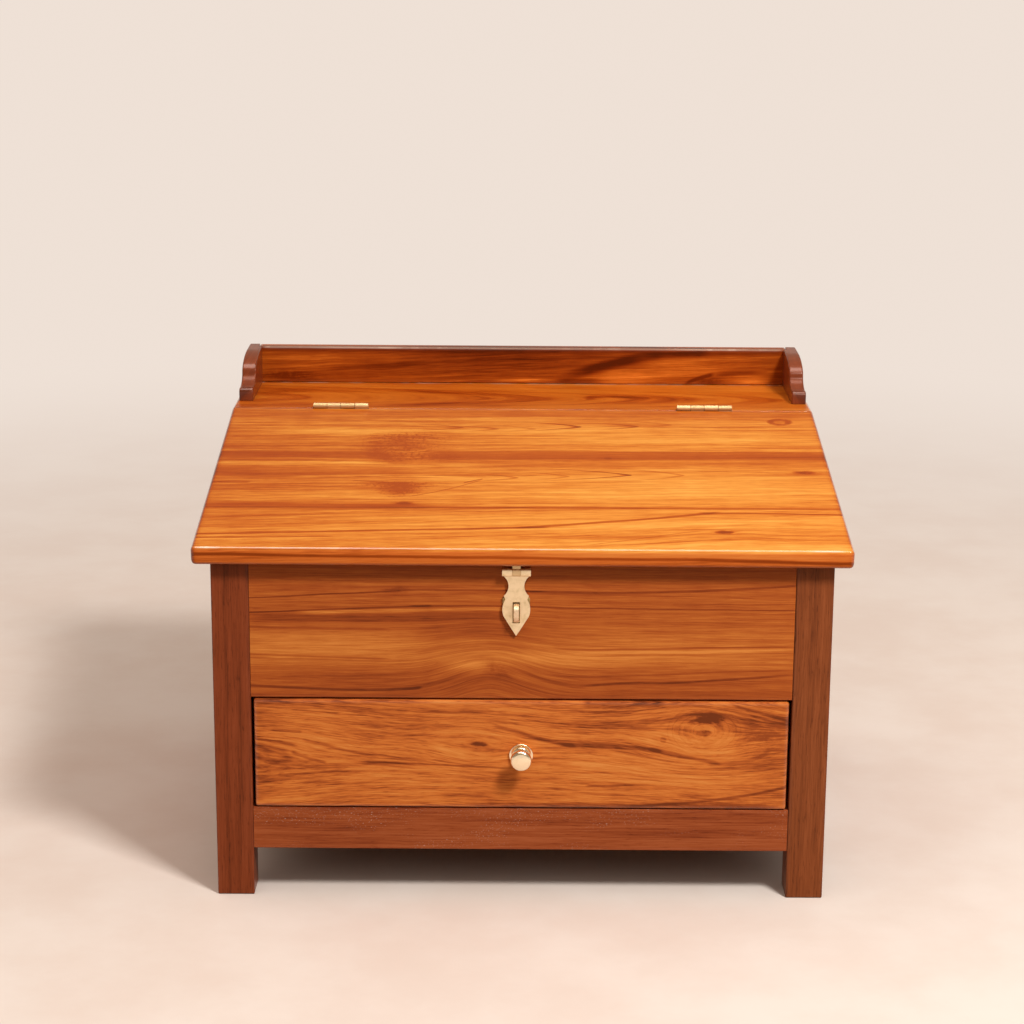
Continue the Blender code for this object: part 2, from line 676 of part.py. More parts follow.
def make_leaf(name, centre, sign, first_knuckle, wood, screw, pivot):
    """One leaf of a butt hinge, let into the edge of a board, with its knuckles and screws.

    sign is 1 for the leaf on the ledge and -1 for the leaf on the lid.
    """
    axis_z = HINGE_AXIS.z
    faces = sorted((JOINT_Y + sign * LEAF_GAP / 2, JOINT_Y + sign * (LEAF_GAP / 2 + LEAF_THICKNESS)))
    half = HINGE_LENGTH / 2
    low = (centre - half, faces[0], LEDGE_TOP - LEAF_DROP)
    leaf = add_block(name, low, (centre + half, faces[1], axis_z), "brass", pivot)
    gain = (low, (centre + half, faces[1], axis_z + CUT_OVER))
    cut(wood, add_pocket(name + "_gain", *gain))
    own = range(first_knuckle, HINGE_KNUCKLES, 2)
    for index in range(HINGE_KNUCKLES):
        start, end = knuckle_span(centre, index)
        if index in own:
            middle = ((start + end) / 2, JOINT_Y, axis_z)
            fuse(leaf, add_rod(f"{name}_knuckle_{index}", middle, BARREL_RADIUS, end - start, BARREL_STEPS))
            continue
        clear = KNUCKLE_GAP / 2
        open_low = (start - clear, faces[0] - CUT_OVER, axis_z - BARREL_RADIUS - NOTCH_CLEARANCE)
        open_high = (end + clear, faces[1] + CUT_OVER, axis_z + CUT_OVER)
        cut(leaf, add_block(f"{name}_notch_{index}", open_low, open_high))
    bore_length = HINGE_LENGTH + CUT_OVER
    bore_radius = HINGE_PIN_RADIUS + BORE_CLEARANCE
    cut(leaf, add_rod(name + "_bore", (centre, JOINT_Y, axis_z), bore_radius, bore_length, SCREW_STEPS))
    face = JOINT_Y + sign * LEAF_GAP / 2
    for index in (-1, 0, 1):
        place = (centre + index * LEAF_SCREW_PITCH, face, LEDGE_TOP - LEAF_SCREW_DROP)
        drive_screw(f"{name}_screw_{index + 2}", screw, place, (0, -sign, 0), (leaf, wood), pivot)


def make_hinges(ledge, lid, lid_pivot):
    """Two butt hinges between the ledge and the lid."""
    screw = screw_meshes("leaf_screw", LEAF_SCREW_LENGTH)
    for side, sign in (("left", -1), ("right", 1)):
        centre = sign * HINGE_SPREAD / 2
        make_leaf(f"{side}_hinge_ledge_leaf", centre, 1, 0, ledge, screw, None)
        make_leaf(f"{side}_hinge_lid_leaf", centre, -1, 1, lid, screw, lid_pivot)
        middle = HINGE_AXIS + Vector((centre, 0, 0))
        add_rod(f"{side}_hinge_pin", middle, HINGE_PIN_RADIUS, HINGE_LENGTH, SCREW_STEPS, "brass")


def make_hasp_plate(lid, screw, pivot):
    """The plate let into the lid's underside, with the hasp's centre knuckle on a tab, and its pin."""
    tab_back = HASP_AXIS_Y + HASP_BARREL_RADIUS
    tab_front = tab_back - HASP_PLATE_THICKNESS
    plate_front = tab_front - HASP_PLATE_LIP
    end = plate_front + HASP_PLATE_LENGTH
    rise = HASP_PLATE_THICKNESS / math.cos(SLOPE)
    half = HASP_PLATE_WIDTH / 2

    def plate_outline(front, rear, below, above):
        return [
            (front, lid_under(front) - below),
            (rear, lid_under(rear) - below),
            (rear, lid_under(rear) + rise + above),
            (front, lid_under(front) + rise + above),
        ]

    near, far = HASP_OFFSET - half, HASP_OFFSET + half
    outline = plate_outline(plate_front, end, 0, 0)
    plate = add_slab("hasp_plate", outline, SIDE_VIEW, near, far, "brass", pivot)
    outline = plate_outline(plate_front - SEAT_GAP, end + SEAT_GAP, CUT_OVER, SEAT_GAP)
    cut(lid, add_slab("hasp_plate_recess", outline, SIDE_VIEW, near - SEAT_GAP, far + SEAT_GAP))
    radius = HASP_BARREL_RADIUS
    meet = math.acos((radius - HASP_PLATE_THICKNESS) / radius)
    turns = [meet + (2 * math.pi - meet) * i / BARREL_STEPS for i in range(BARREL_STEPS + 1)]
    outline = [(HASP_AXIS.y + radius * math.cos(a), HASP_AXIS.z + radius * math.sin(a)) for a in turns]
    tab_top = lid_under(tab_front) + rise / 2
    outline += [(tab_back, tab_top), (tab_front, tab_top)]
    half_knuckle = HASP_CENTRE_KNUCKLE / 2
    ends = (HASP_OFFSET - half_knuckle, HASP_OFFSET + half_knuckle)
    fuse(plate, add_slab("hasp_centre_knuckle", outline, SIDE_VIEW, *ends))
    bore = HASP_PIN_RADIUS + BORE_CLEARANCE
    cut(plate, add_rod("hasp_plate_bore", HASP_AXIS, bore, HASP_WIDTH, SCREW_STEPS))
    add_rod("hasp_pin", HASP_AXIS, HASP_PIN_RADIUS, HASP_WIDTH, SCREW_STEPS, "brass", pivot)
    screw_y = end - HASP_PLATE_SCREW_INSET
    down = (0, math.sin(SLOPE), -math.cos(SLOPE))
    for side, sign in (("left", -1), ("right", 1)):
        place = (HASP_OFFSET + sign * HASP_PLATE_SCREW_PITCH / 2, screw_y, lid_under(screw_y))
        drive_screw(f"hasp_plate_{side}_screw", screw, place, down, (plate, lid), pivot)


def strap_outline():
    """Front view of the hasp strap: knuckle band, waist, shoulders, belly and tip."""
    half = HASP_WIDTH / 2 - STRAP_INSET
    waist = arc_through(
        (half, STRAP_BAND), (WAIST_WIDTH / 2, WAIST_DROP), (SHOULDER_WIDTH / 2, SHOULDER_DROP)
    )
    belly = arc_through(
        (NOTCH_WIDTH / 2, NOTCH_DROP), (BELLY_WIDTH / 2, BELLY_DROP), (FLANK_WIDTH / 2, FLANK_DROP)
    )
    right = [(half, 0), *waist, *belly]
    both = right + [(0, TIP_DROP)] + [(-x, drop) for x, drop in reversed(right)]
    return [(HASP_AXIS.x + x, HASP_AXIS.z - drop) for x, drop in both]


def make_strap(pivot):
    """The swinging strap with its two outer knuckles and the slot for the staple."""
    front = STRAP_BACK - STRAP_THICKNESS
    strap = add_slab("hasp_strap", strap_outline(), FRONT_VIEW, front, STRAP_BACK, "brass", pivot)
    half_open = HASP_CENTRE_KNUCKLE / 2 + KNUCKLE_GAP
    clear = HASP_BARREL_RADIUS + NOTCH_CLEARANCE
    corner = Vector((half_open + STRAP_INSET, clear, clear))
    cut(strap, add_block("hasp_notch", HASP_AXIS - corner, HASP_AXIS + corner))
    length = HASP_WIDTH / 2 - half_open
    for side, sign in (("left", -1), ("right", 1)):
        middle = HASP_AXIS + Vector((sign * (half_open + length / 2), 0, 0))
        fuse(strap, add_rod(f"strap_{side}_knuckle", middle, HASP_BARREL_RADIUS, length, BARREL_STEPS))
    bore = HASP_PIN_RADIUS + BORE_CLEARANCE
    cut(strap, add_rod("strap_bore", HASP_AXIS, bore, HASP_WIDTH + CUT_OVER, SCREW_STEPS))
    slot_top = HASP_AXIS.z - SLOT_DROP
    low = (HASP_AXIS.x - SLOT_WIDTH / 2, front - CUT_OVER, slot_top - SLOT_LENGTH)
    high = (HASP_AXIS.x + SLOT_WIDTH / 2, STRAP_BACK + CUT_OVER, slot_top)
    cut(strap, add_block("strap_slot", low, high))


def staple_outline(middle):
    """Side view of the staple: a bent strip whose two ends go back into the wood."""
    outer = STAPLE_HEIGHT / 2
    inner = outer - STAPLE_STOCK
    tip = PANEL_FACE - STAPLE_PROJECTION
    bend = tip + STAPLE_BEND
    root = PANEL_FACE + STAPLE_ROOT
    inner_bend = STAPLE_BEND - STAPLE_STOCK
    outer_top = quarter((bend, middle + outer - STAPLE_BEND), STAPLE_BEND, STAPLE_BEND, 180)
    inner_top = quarter((bend, middle + outer - STAPLE_BEND), inner_bend, inner_bend, 180)
    outside = [(root, middle + outer)] + list(reversed(outer_top))
    inside = inner_top + [(root, middle + inner)]

    def flip(points):
        return [(y, 2 * middle - z) for y, z in reversed(points)]

    return outside + flip(outside) + flip(inside) + inside


def make_staple(front_panel, screw):
    """The staple that stands through the strap's slot, and the screwed plate that it passes through."""
    middle = HASP_AXIS.z - SLOT_DROP - SLOT_LENGTH / 2
    half = STAPLE_WIDTH / 2
    near, far = HASP_OFFSET - half, HASP_OFFSET + half
    add_slab("staple", staple_outline(middle), SIDE_VIEW, near, far, "brass")
    plate_top = HASP_AXIS.z - SLOT_DROP + STAPLE_PLATE_RISE
    half_plate, half_foot = STAPLE_PLATE_WIDTH / 2, STAPLE_PLATE_FOOT / 2
    right = [
        (half_plate, plate_top),
        (half_plate, plate_top - STAPLE_PLATE_STRAIGHT),
        (half_foot, plate_top - STAPLE_PLATE_LENGTH),
    ]
    outline = [(HASP_OFFSET + x, z) for x, z in right]
    outline += [(HASP_OFFSET - x, z) for x, z in reversed(right)]
    plate_front = STAPLE_PLATE_BACK - STAPLE_PLATE_THICKNESS
    plate = add_slab("staple_plate", outline, FRONT_VIEW, plate_front, STAPLE_PLATE_BACK, "brass")
    root = PANEL_FACE + STAPLE_ROOT
    for end, sign in (("lower", -1), ("upper", 1)):
        outer = middle + sign * STAPLE_HEIGHT / 2
        bottom, top = sorted((outer, outer - sign * STAPLE_STOCK))
        low, high = (near, plate_front - CUT_OVER, bottom), (far, root, top)
        prong = add_pocket(f"staple_{end}_prong", low, high)
        cut(plate, prong)
        cut(front_panel, prong)
    for side, sign in (("left", -1), ("right", 1)):
        place = (HASP_OFFSET + sign * STAPLE_SCREW_SPREAD / 2, plate_front, plate_top - STAPLE_SCREW_DROP)
        drive_screw(f"staple_plate_{side}_screw", screw, place, (0, -1, 0), (plate, front_panel))


def make_drawer(pivot):
    """The drawer: a lapped front, two sides, a housed back and a bottom in grooves."""
    side_low_z, side_high_z = DRAWER_BOTTOM, DRAWER_BOTTOM + DRAWER_SIDE_HEIGHT
    rear = BACK_FACE - DRAWER_BACK_GAP
    low = (-DRAWER_HALF, 0, DRAWER_BOTTOM)
    high = (DRAWER_HALF, DRAWER_FRONT_THICKNESS, DRAWER_TOP)
    front = add_block("drawer_front", low, high, "figured_teak", pivot, DRAWER_FRONT_EASING, 2)

    side_inner = DRAWER_HALF - DRAWER_SIDE_THICKNESS
    lap = DRAWER_FRONT_THICKNESS - DRAWER_LAP + SEAT_GAP
    groove_reach = side_inner + DRAWER_GROOVE - SEAT_GAP
    bottom_z = DRAWER_BOTTOM + DRAWER_BOTTOM_RAISE
    bottom_top = bottom_z + DRAWER_BOTTOM_THICKNESS
    bottom_low = (-groove_reach, DRAWER_FRONT_THICKNESS - DRAWER_GROOVE + SEAT_GAP, bottom_z)
    bottom_high = (groove_reach, rear - DRAWER_BACK_SETBACK, bottom_top)
    add_block("drawer_bottom", bottom_low, bottom_high, "inner_teak", pivot)
    bottom_groove = add_pocket("drawer_bottom_groove", bottom_low, bottom_high)

    back_reach = side_inner + DRAWER_HOUSING - SEAT_GAP
    back_rear = rear - DRAWER_BACK_SETBACK
    back_low = (-back_reach, back_rear - DRAWER_SIDE_THICKNESS, bottom_top + SEAT_GAP)
    back_high = (back_reach, back_rear, side_high_z)
    add_block("drawer_back", back_low, back_high, "inner_teak", pivot)
    back_dado = add_pocket("drawer_back_dado", back_low, (*back_high[:2], back_high[2] + CUT_OVER))

    for side, sign in (("left", -1), ("right", 1)):
        near, far = sorted((sign * side_inner, sign * DRAWER_HALF))
        low, high = (near, lap, side_low_z), (far, rear, side_high_z)
        board = add_block(f"drawer_{side}_side", low, high, "inner_teak", pivot)
        cut(board, bottom_groove)
        cut(board, back_dado)
        far_out = sorted((sign * side_inner, sign * (DRAWER_HALF + CUT_OVER)))
        rabbet = ((far_out[0], lap, side_low_z - CUT_OVER), (far_out[1], rear, DRAWER_TOP + CUT_OVER))
        cut(front, add_pocket(f"drawer_{side}_rabbet", *rabbet))
    cut(front, bottom_groove)
    return front


def knob_profile():
    """Half profile of the turned knob, from the middle of its face to the bottom of its screw hole."""
    face = KNOB_PROJECTION - SEAT_GAP
    shoulder = face - KNOB_DOME
    widest = shoulder - KNOB_RIM_DEPTH
    flat = KNOB_HEAD_RADIUS - KNOB_RIM_RUN
    head_back = face - KNOB_HEAD_DEPTH
    ring_front = KNOB_FLANGE_DEPTH + KNOB_RING_DEPTH
    hole = KNOB_SCREW_RADIUS + SEAT_GAP
    hole_end = KNOB_SCREW_GRIP + SEAT_GAP
    cove = KNOB_RING_RADIUS - KNOB_NECK_RADIUS
    points = arc_through((-flat, shoulder), (0, face), (flat, shoulder))[ARC_STEPS // 2 :]
    points[0] = (0, face)
    points += quarter((flat, widest), KNOB_RIM_RUN, KNOB_RIM_DEPTH, 90)[1:]
    undercut = KNOB_HEAD_RADIUS - KNOB_NECK_RADIUS
    points += quarter((KNOB_NECK_RADIUS, widest), undercut, widest - head_back, 0)[1:]
    points += reversed(quarter((KNOB_RING_RADIUS, ring_front + cove), cove, cove, 270))
    points += [(KNOB_RING_RADIUS, KNOB_FLANGE_DEPTH), (KNOB_FLANGE_RADIUS - KNOB_EASING, KNOB_FLANGE_DEPTH)]
    points += [(KNOB_FLANGE_RADIUS, KNOB_FLANGE_DEPTH - KNOB_EASING), (KNOB_FLANGE_RADIUS, 0)]
    return points + [(hole, 0), (hole, hole_end), (0, hole_end)]


def make_knob(drawer_front, pivot):
    """The turned brass knob, and the screw that holds it from inside the drawer."""
    outward = Vector((0, -1, 0)).to_track_quat("Z", "Y")
    base = (0, -SEAT_GAP, (DRAWER_BOTTOM + DRAWER_TOP) / 2)
    knob = turned_mesh("drawer_knob", knob_profile(), KNOB_STEPS)
    add_object("drawer_knob", knob, base, "brass", pivot, outward)
    seat = -DRAWER_FRONT_THICKNESS - 2 * SEAT_GAP
    profile = [
        (0, KNOB_SCREW_GRIP),
        (KNOB_SCREW_RADIUS, KNOB_SCREW_GRIP),
        (KNOB_SCREW_RADIUS, seat),
        (KNOB_SCREW_HEAD_RADIUS, seat),
        (KNOB_SCREW_HEAD_RADIUS, seat - KNOB_SCREW_HEAD_DEPTH),
        (0, seat - KNOB_SCREW_HEAD_DEPTH),
    ]
    screw = turned_mesh("knob_screw", profile, SCREW_STEPS)
    add_object("knob_screw", screw, base, "brass", pivot, outward)
    radius = KNOB_SCREW_RADIUS + SEAT_GAP
    profile = [(0, CUT_OVER), (radius, CUT_OVER), (radius, seat - CUT_OVER), (0, seat - CUT_OVER)]
    hole = turned_mesh("knob_hole", profile, SCREW_STEPS)
    cut(drawer_front, add_object("knob_hole", hole, base, turn=outward))


def main():
    """Builds the desk."""
    clear_scene()
    for name in FINISHES:
        make_finish(name)
    origin = make_pivot("desk_origin", (0, 0, 0))
    lid_pivot = make_pivot("lid_pivot", HINGE_AXIS, origin)
    hasp_pivot = make_pivot("hasp_pivot", HASP_AXIS, lid_pivot)
    drawer_pivot = make_pivot("drawer_pivot", (0, 0, DRAWER_BOTTOM), origin)
    front_panel = make_case(make_legs())
    make_drawer_bearers()
    make_gallery()
    lid = make_lid(lid_pivot)
    make_hinges(make_ledge(), lid, lid_pivot)
    short_screw = screw_meshes("hasp_screw", HASP_SCREW_LENGTH)
    make_hasp_plate(lid, short_screw, lid_pivot)
    make_strap(hasp_pivot)
    make_staple(front_panel, short_screw)
    make_knob(make_drawer(drawer_pivot), drawer_pivot)


main()
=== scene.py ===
"""Looks of a slant-top teak writing desk with gallery, drawer and brass fittings, in plain studio light."""

import json
import logging
import math
from collections.abc import Callable, Mapping
from dataclasses import asdict, dataclass, replace
from enum import Enum
from typing import ClassVar, Union

import bmesh
import bpy
from mathutils import Matrix, Vector

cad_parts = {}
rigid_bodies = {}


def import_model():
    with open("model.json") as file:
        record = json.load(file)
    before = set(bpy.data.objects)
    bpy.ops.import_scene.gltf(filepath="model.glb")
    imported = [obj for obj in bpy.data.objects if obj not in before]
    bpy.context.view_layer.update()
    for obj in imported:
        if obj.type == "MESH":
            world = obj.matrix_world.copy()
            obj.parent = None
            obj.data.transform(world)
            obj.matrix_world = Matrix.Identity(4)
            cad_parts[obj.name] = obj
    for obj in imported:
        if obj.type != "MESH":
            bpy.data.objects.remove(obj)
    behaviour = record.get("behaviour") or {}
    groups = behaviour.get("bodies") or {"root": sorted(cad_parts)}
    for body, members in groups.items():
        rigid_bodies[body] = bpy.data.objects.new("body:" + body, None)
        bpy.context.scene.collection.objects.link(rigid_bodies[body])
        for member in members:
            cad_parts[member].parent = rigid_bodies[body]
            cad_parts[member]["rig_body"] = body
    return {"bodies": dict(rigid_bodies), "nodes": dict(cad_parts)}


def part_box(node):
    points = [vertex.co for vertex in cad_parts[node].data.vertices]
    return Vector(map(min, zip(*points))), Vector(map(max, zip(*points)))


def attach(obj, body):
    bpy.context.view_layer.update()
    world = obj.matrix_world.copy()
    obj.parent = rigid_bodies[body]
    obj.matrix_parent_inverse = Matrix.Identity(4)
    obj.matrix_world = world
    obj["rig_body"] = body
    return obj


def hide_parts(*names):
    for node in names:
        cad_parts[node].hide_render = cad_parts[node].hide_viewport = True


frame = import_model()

LOG = logging.getLogger("writing_desk")

Form = bmesh.types.BMesh
Edge = bmesh.types.BMEdge
Pair = tuple[float, float]
Triple = tuple[float, float, float]
Palette = tuple[tuple[float, Triple], ...]
Value = Union[float, tuple, "Signal"]
Signals = Mapping[str, "Signal"]

WELD = 1e-6
FLAT_ANGLE = math.radians(0.6)
SHARP_ANGLE = math.radians(38)
ON_FACE = 1e-4
MIDDLE = 0.5
SIDES = ("left", "right")


class Way(Enum):
    """Directions on the desk, as unit vectors."""

    RIGHT = (1.0, 0.0, 0.0)
    LEFT = (-1.0, 0.0, 0.0)
    BACK = (0.0, 1.0, 0.0)
    FRONT = (0.0, -1.0, 0.0)
    UP = (0.0, 0.0, 1.0)


class Stuff(Enum):
    """What a piece is made of, as its name ends."""

    BOARD = "board"
    METAL = "metal"


class Signal:
    """A value on a wire between shader nodes. Arithmetic on it adds the nodes that it needs."""

    def __init__(self, wiring: "Wiring", socket: bpy.types.NodeSocket) -> None:
        """Keeps the wiring that the value belongs to, and the socket that it comes from."""
        self.wiring = wiring
        self.socket = socket

    def _math(self, operation: str, *others: Value) -> "Signal":
        """A maths node that starts from this value."""
        return self.wiring.math(operation, self, *others)

    def __add__(self, other: Value) -> "Signal":
        """The sum."""
        return self._math("ADD", other)

    def __sub__(self, other: Value) -> "Signal":
        """The difference."""
        return self._math("SUBTRACT", other)

    def __mul__(self, other: Value) -> "Signal":
        """The product."""
        return self._math("MULTIPLY", other)

    def __truediv__(self, other: Value) -> "Signal":
        """The quotient."""
        return self._math("DIVIDE", other)

    __radd__ = __add__
    __rmul__ = __mul__

    def __rsub__(self, other: float) -> "Signal":
        """A plain number less this value."""
        return self.wiring.math("SUBTRACT", other, self)

    def size(self) -> "Signal":
        """The value without its sign."""
        return self._math("ABSOLUTE")

    def swing(self) -> "Signal":
        """How far a noise lies above or below its middle."""
        return self - MIDDLE

    def squared(self) -> "Signal":
        """The value times itself."""
        return self._math("MULTIPLY", self)

    def root(self) -> "Signal":
        """The square root."""
        return self._math("SQRT")

    def fade(self) -> "Signal":
        """One over e to this value: 1 at zero, and soon nothing."""
        return self.wiring.math("EXPONENT", self * -1.0)

    def whole(self) -> "Signal":
        """The whole number below the value."""
        return self._math("FLOOR")

    def rest(self) -> "Signal":
        """What is left of the value above its whole number."""
        return self._math("FRACT")

    def least(self, other: Value) -> "Signal":
        """The smaller of two values."""
        return self._math("MINIMUM", other)

    def most(self, other: Value) -> "Signal":
        """The larger of two values."""
        return self._math("MAXIMUM", other)

    def above(self, other: Value) -> "Signal":
        """1 where the value is larger than another, and else 0."""
        return self._math("GREATER_THAN", other)

    def step(self, none: Value, full: Value) -> "Signal":
        """A smooth step.

        Args:
            none: the value at which the step is 0.
            full: the value at which the step is 1, above or below the other.

        Returns:
            The step, from 0 to 1.
        """
        made = self.wiring.node(
            "ShaderNodeMapRange",
            {"Value": self, "From Min": none, "From Max": full},
            interpolation_type="SMOOTHSTEP",
        )
        return Signal(self.wiring, made.outputs["Result"])


class Wiring:
    """Adds nodes to one shader tree and joins them."""

    mix_inputs: ClassVar[tuple[int, int, int]] = (0, 6, 7)
    mix_output: ClassVar[int] = 2

    def __init__(self, tree: bpy.types.NodeTree) -> None:
        """Keeps the tree that the nodes go in."""
        self.tree = tree

    def feed(self, socket: bpy.types.NodeSocket, value: Value) -> None:
        """Gives a socket a value.

        Args:
            socket: an input of a node.
            value: a number, a colour, a vector, or a signal to join to it.
        """
        if isinstance(value, Signal):
            self.tree.links.new(value.socket, socket)
        elif socket.type == "RGBA":
            socket.default_value = (*value[:3], 1.0)
        else:
            socket.default_value = value

    def fill(self, node: bpy.types.Node, inputs: Mapping[str, Value]) -> None:
        """Gives the named inputs of a node their values."""
        for name, value in inputs.items():
            self.feed(node.inputs[name], value)

    def node(
        self, kind: str, inputs: Mapping[str, Value] | None = None, **settings: object
    ) -> bpy.types.Node:
        """Adds a node.

        Args:
            kind: Blender's name for the node.
            inputs: values for its named inputs.
            settings: values for its own properties.

        Returns:
            The node.
        """
        made = self.tree.nodes.new(kind)
        for name, value in settings.items():
            setattr(made, name, value)
        self.fill(made, inputs or {})
        return made

    def math(self, operation: str, *values: Value) -> Signal:
        """Adds a maths node.

        Args:
            operation: Blender's name for the operation.
            values: the operands in order.

        Returns:
            The result.
        """
        made = self.node("ShaderNodeMath", operation=operation)
        for socket, value in zip(made.inputs, values):
            self.feed(socket, value)
        return Signal(self, made.outputs[0])

    def place(self, kind: str = "Object") -> Signal:
        """The place that is looked at, in the frame that Blender gives that name."""
        return Signal(self, self.node("ShaderNodeTexCoord").outputs[kind])

    def vector(self, x: Value, y: Value, z: Value) -> Signal:
        """A vector from three values."""
        made = self.node("ShaderNodeCombineXYZ", {"X": x, "Y": y, "Z": z})
        return Signal(self, made.outputs[0])

    def parts(self, vector: Signal) -> tuple[Signal, Signal, Signal]:
        """The three values of a vector."""
        made = self.node("ShaderNodeSeparateXYZ", {"Vector": vector})
        return tuple(Signal(self, socket) for socket in made.outputs)

    def cloud(self, point: Signal, detail: float, roughness: float) -> Signal:
        """Soft noise.

        Args:
            point: where it is read, one unit for each soft lump.
            detail: how many finer layers lie on it.
            roughness: how strong the finer layers are.

        Returns:
            A value from 0 to 1, mostly near a half.
        """
        inputs = {"Vector": point, "Scale": 1.0, "Detail": detail, "Roughness": roughness}
        return Signal(self, self.node("ShaderNodeTexNoise", inputs).outputs["Fac"])

    def wander(self, place: Signal, detail: float = 1.0) -> Signal:
        """Noise along a line.

        Args:
            place: where it is read, one unit for each soft lump.
            detail: how many finer layers lie on it.

        Returns:
            A value from 0 to 1, mostly near a half.
        """
        inputs = {"W": place, "Scale": 1.0, "Detail": detail}
        return Signal(self, self.node("ShaderNodeTexNoise", inputs, noise_dimensions="1D").outputs["Fac"])

    def draw(self, number: Signal) -> Signal:
        """A lot from 0 to 1 for each whole number."""
        made = self.node("ShaderNodeTexWhiteNoise", {"W": number}, noise_dimensions="1D")
        return Signal(self, made.outputs["Value"])

    def blend(self, share: Value, first: Value, second: Value) -> Signal:
        """Mixes two colours.

        Args:
            share: the share of the second colour.
            first: the first colour.
            second: the second colour.

        Returns:
            The mixed colour.
        """
        made = self.node("ShaderNodeMix", data_type="RGBA")
        for socket, value in zip(self.mix_inputs, (share, first, second)):
            self.feed(made.inputs[socket], value)
        return Signal(self, made.outputs[self.mix_output])

    def palette(self, tone: Signal, colours: Palette) -> Signal:
        """Colours along a scale.

        Args:
            tone: the place on the scale.
            colours: the places of the colours, with the colours.

        Returns:
            The colour there.
        """
        made = self.node("ShaderNodeValToRGB", {"Fac": tone})
        stops = made.color_ramp.elements
        while len(stops) < len(colours):
            stops.new(1.0)
        for stop, (place, colour) in zip(stops, colours):
            stop.position = place
            stop.color = (*colour, 1.0)
        return Signal(self, made.outputs["Color"])

    def bump(self, height: Signal, strength: float, distance: float) -> Signal:
        """The normals of a surface with that relief."""
        made = self.node("ShaderNodeBump", {"Height": height, "Strength": strength, "Distance": distance})
        return Signal(self, made.outputs[0])


@dataclass(frozen=True)
class Lumps:
    """A soft noise: its lumps in each metre along, across and into a piece, and its finer layers."""

    along: float
    across: float
    depth: float
    detail: float = 2.0
    roughness: float = 0.5

    def over(
        self, wiring: Wiring, along: Signal, across: Signal, depth: Value, start: Value = 0.0
    ) -> Signal:
        """Reads the noise.

        Args:
            wiring: the tree.
            along: the place along the piece.
            across: the place across it.
            depth: the place into it.
            start: how many lumps the noise is moved along.

        Returns:
            A value from 0 to 1, mostly near a half.
        """
        point = wiring.vector(along * self.along + start, across * self.across, depth * self.depth)
        return wiring.cloud(point, self.detail, self.roughness)


class Effect:
    """A surface effect that several finishes share: a node group, built once and placed in each material."""

    title: ClassVar[str]
    takes: ClassVar[Mapping[str, Value]]
    gives: ClassVar[tuple[str, ...]]

    @classmethod
    def wire(cls, wiring: Wiring, given: Signals) -> Signals:
        """Makes the nodes of the effect. Each effect has its own.

        Args:
            wiring: the group's own tree.
            given: the group's inputs by name.

        Returns:
            The group's outputs by name.
        """
        raise NotImplementedError

    @classmethod
    def build(cls) -> bpy.types.NodeTree:
        """Makes the node group when it is first asked for.

        Returns:
            The node group.
        """
        tree = bpy.data.node_groups.get(cls.title)
        if tree:
            return tree
        tree = bpy.data.node_groups.new(cls.title, "ShaderNodeTree")
        for name, start in cls.takes.items():
            kind = "NodeSocketVector" if isinstance(start, tuple) else "NodeSocketFloat"
            socket = tree.interface.new_socket(name, in_out="INPUT", socket_type=kind)
            socket.default_value = start
        for name in cls.gives:
            tree.interface.new_socket(name, in_out="OUTPUT", socket_type="NodeSocketFloat")
        wiring = Wiring(tree)
        entry = wiring.node("NodeGroupInput")
        given = {name: Signal(wiring, entry.outputs[name]) for name in cls.takes}
        wiring.node("NodeGroupOutput", cls.wire(wiring, given))
        return tree

    @classmethod
    def place(cls, wiring: Wiring, **values: Value) -> Signals:
        """Places the effect in a tree.

        Args:
            wiring: the tree.
            values: the effect's inputs, with their names in small letters.

        Returns:
            The effect's outputs by name.
        """
        inputs = {name.replace("_", " ").title(): value for name, value in values.items()}
        made = wiring.node("ShaderNodeGroup", inputs, node_tree=cls.build())
        return {name: Signal(wiring, made.outputs[name]) for name in cls.gives}


class GrainSway(Effect):
    """How far the grain strays sideways: a slow waver, and a quick curl."""

    title = "grain_sway"
    takes = {"Along": 0.0, "Across": 0.0, "Depth": 0.0, "Seed": 0.0, "Waver": 0.01, "Curl": 0.002}
    gives = ("Sway",)
    slow = Lumps(2.6, 11.0, 11.0)
    slow_start = 7.0
    quick = Lumps(15.0, 42.0, 42.0, 3.0)
    quick_start = 5.0

    @classmethod
    def wire(cls, wiring: Wiring, given: Signals) -> Signals:
        """Adds the two, each to both sides of the straight grain.

        Args:
            wiring: the group's own tree.
            given: the group's inputs by name.

        Returns:
            The group's outputs by name.
        """
        place = [given[name] for name in ("Along", "Across", "Depth")]
        waver = cls.slow.over(wiring, *place, given["Seed"] * cls.slow_start).swing() * given["Waver"]
        curl = cls.quick.over(wiring, *place, given["Seed"] * cls.quick_start).swing() * given["Curl"]
        return {"Sway": waver + curl}


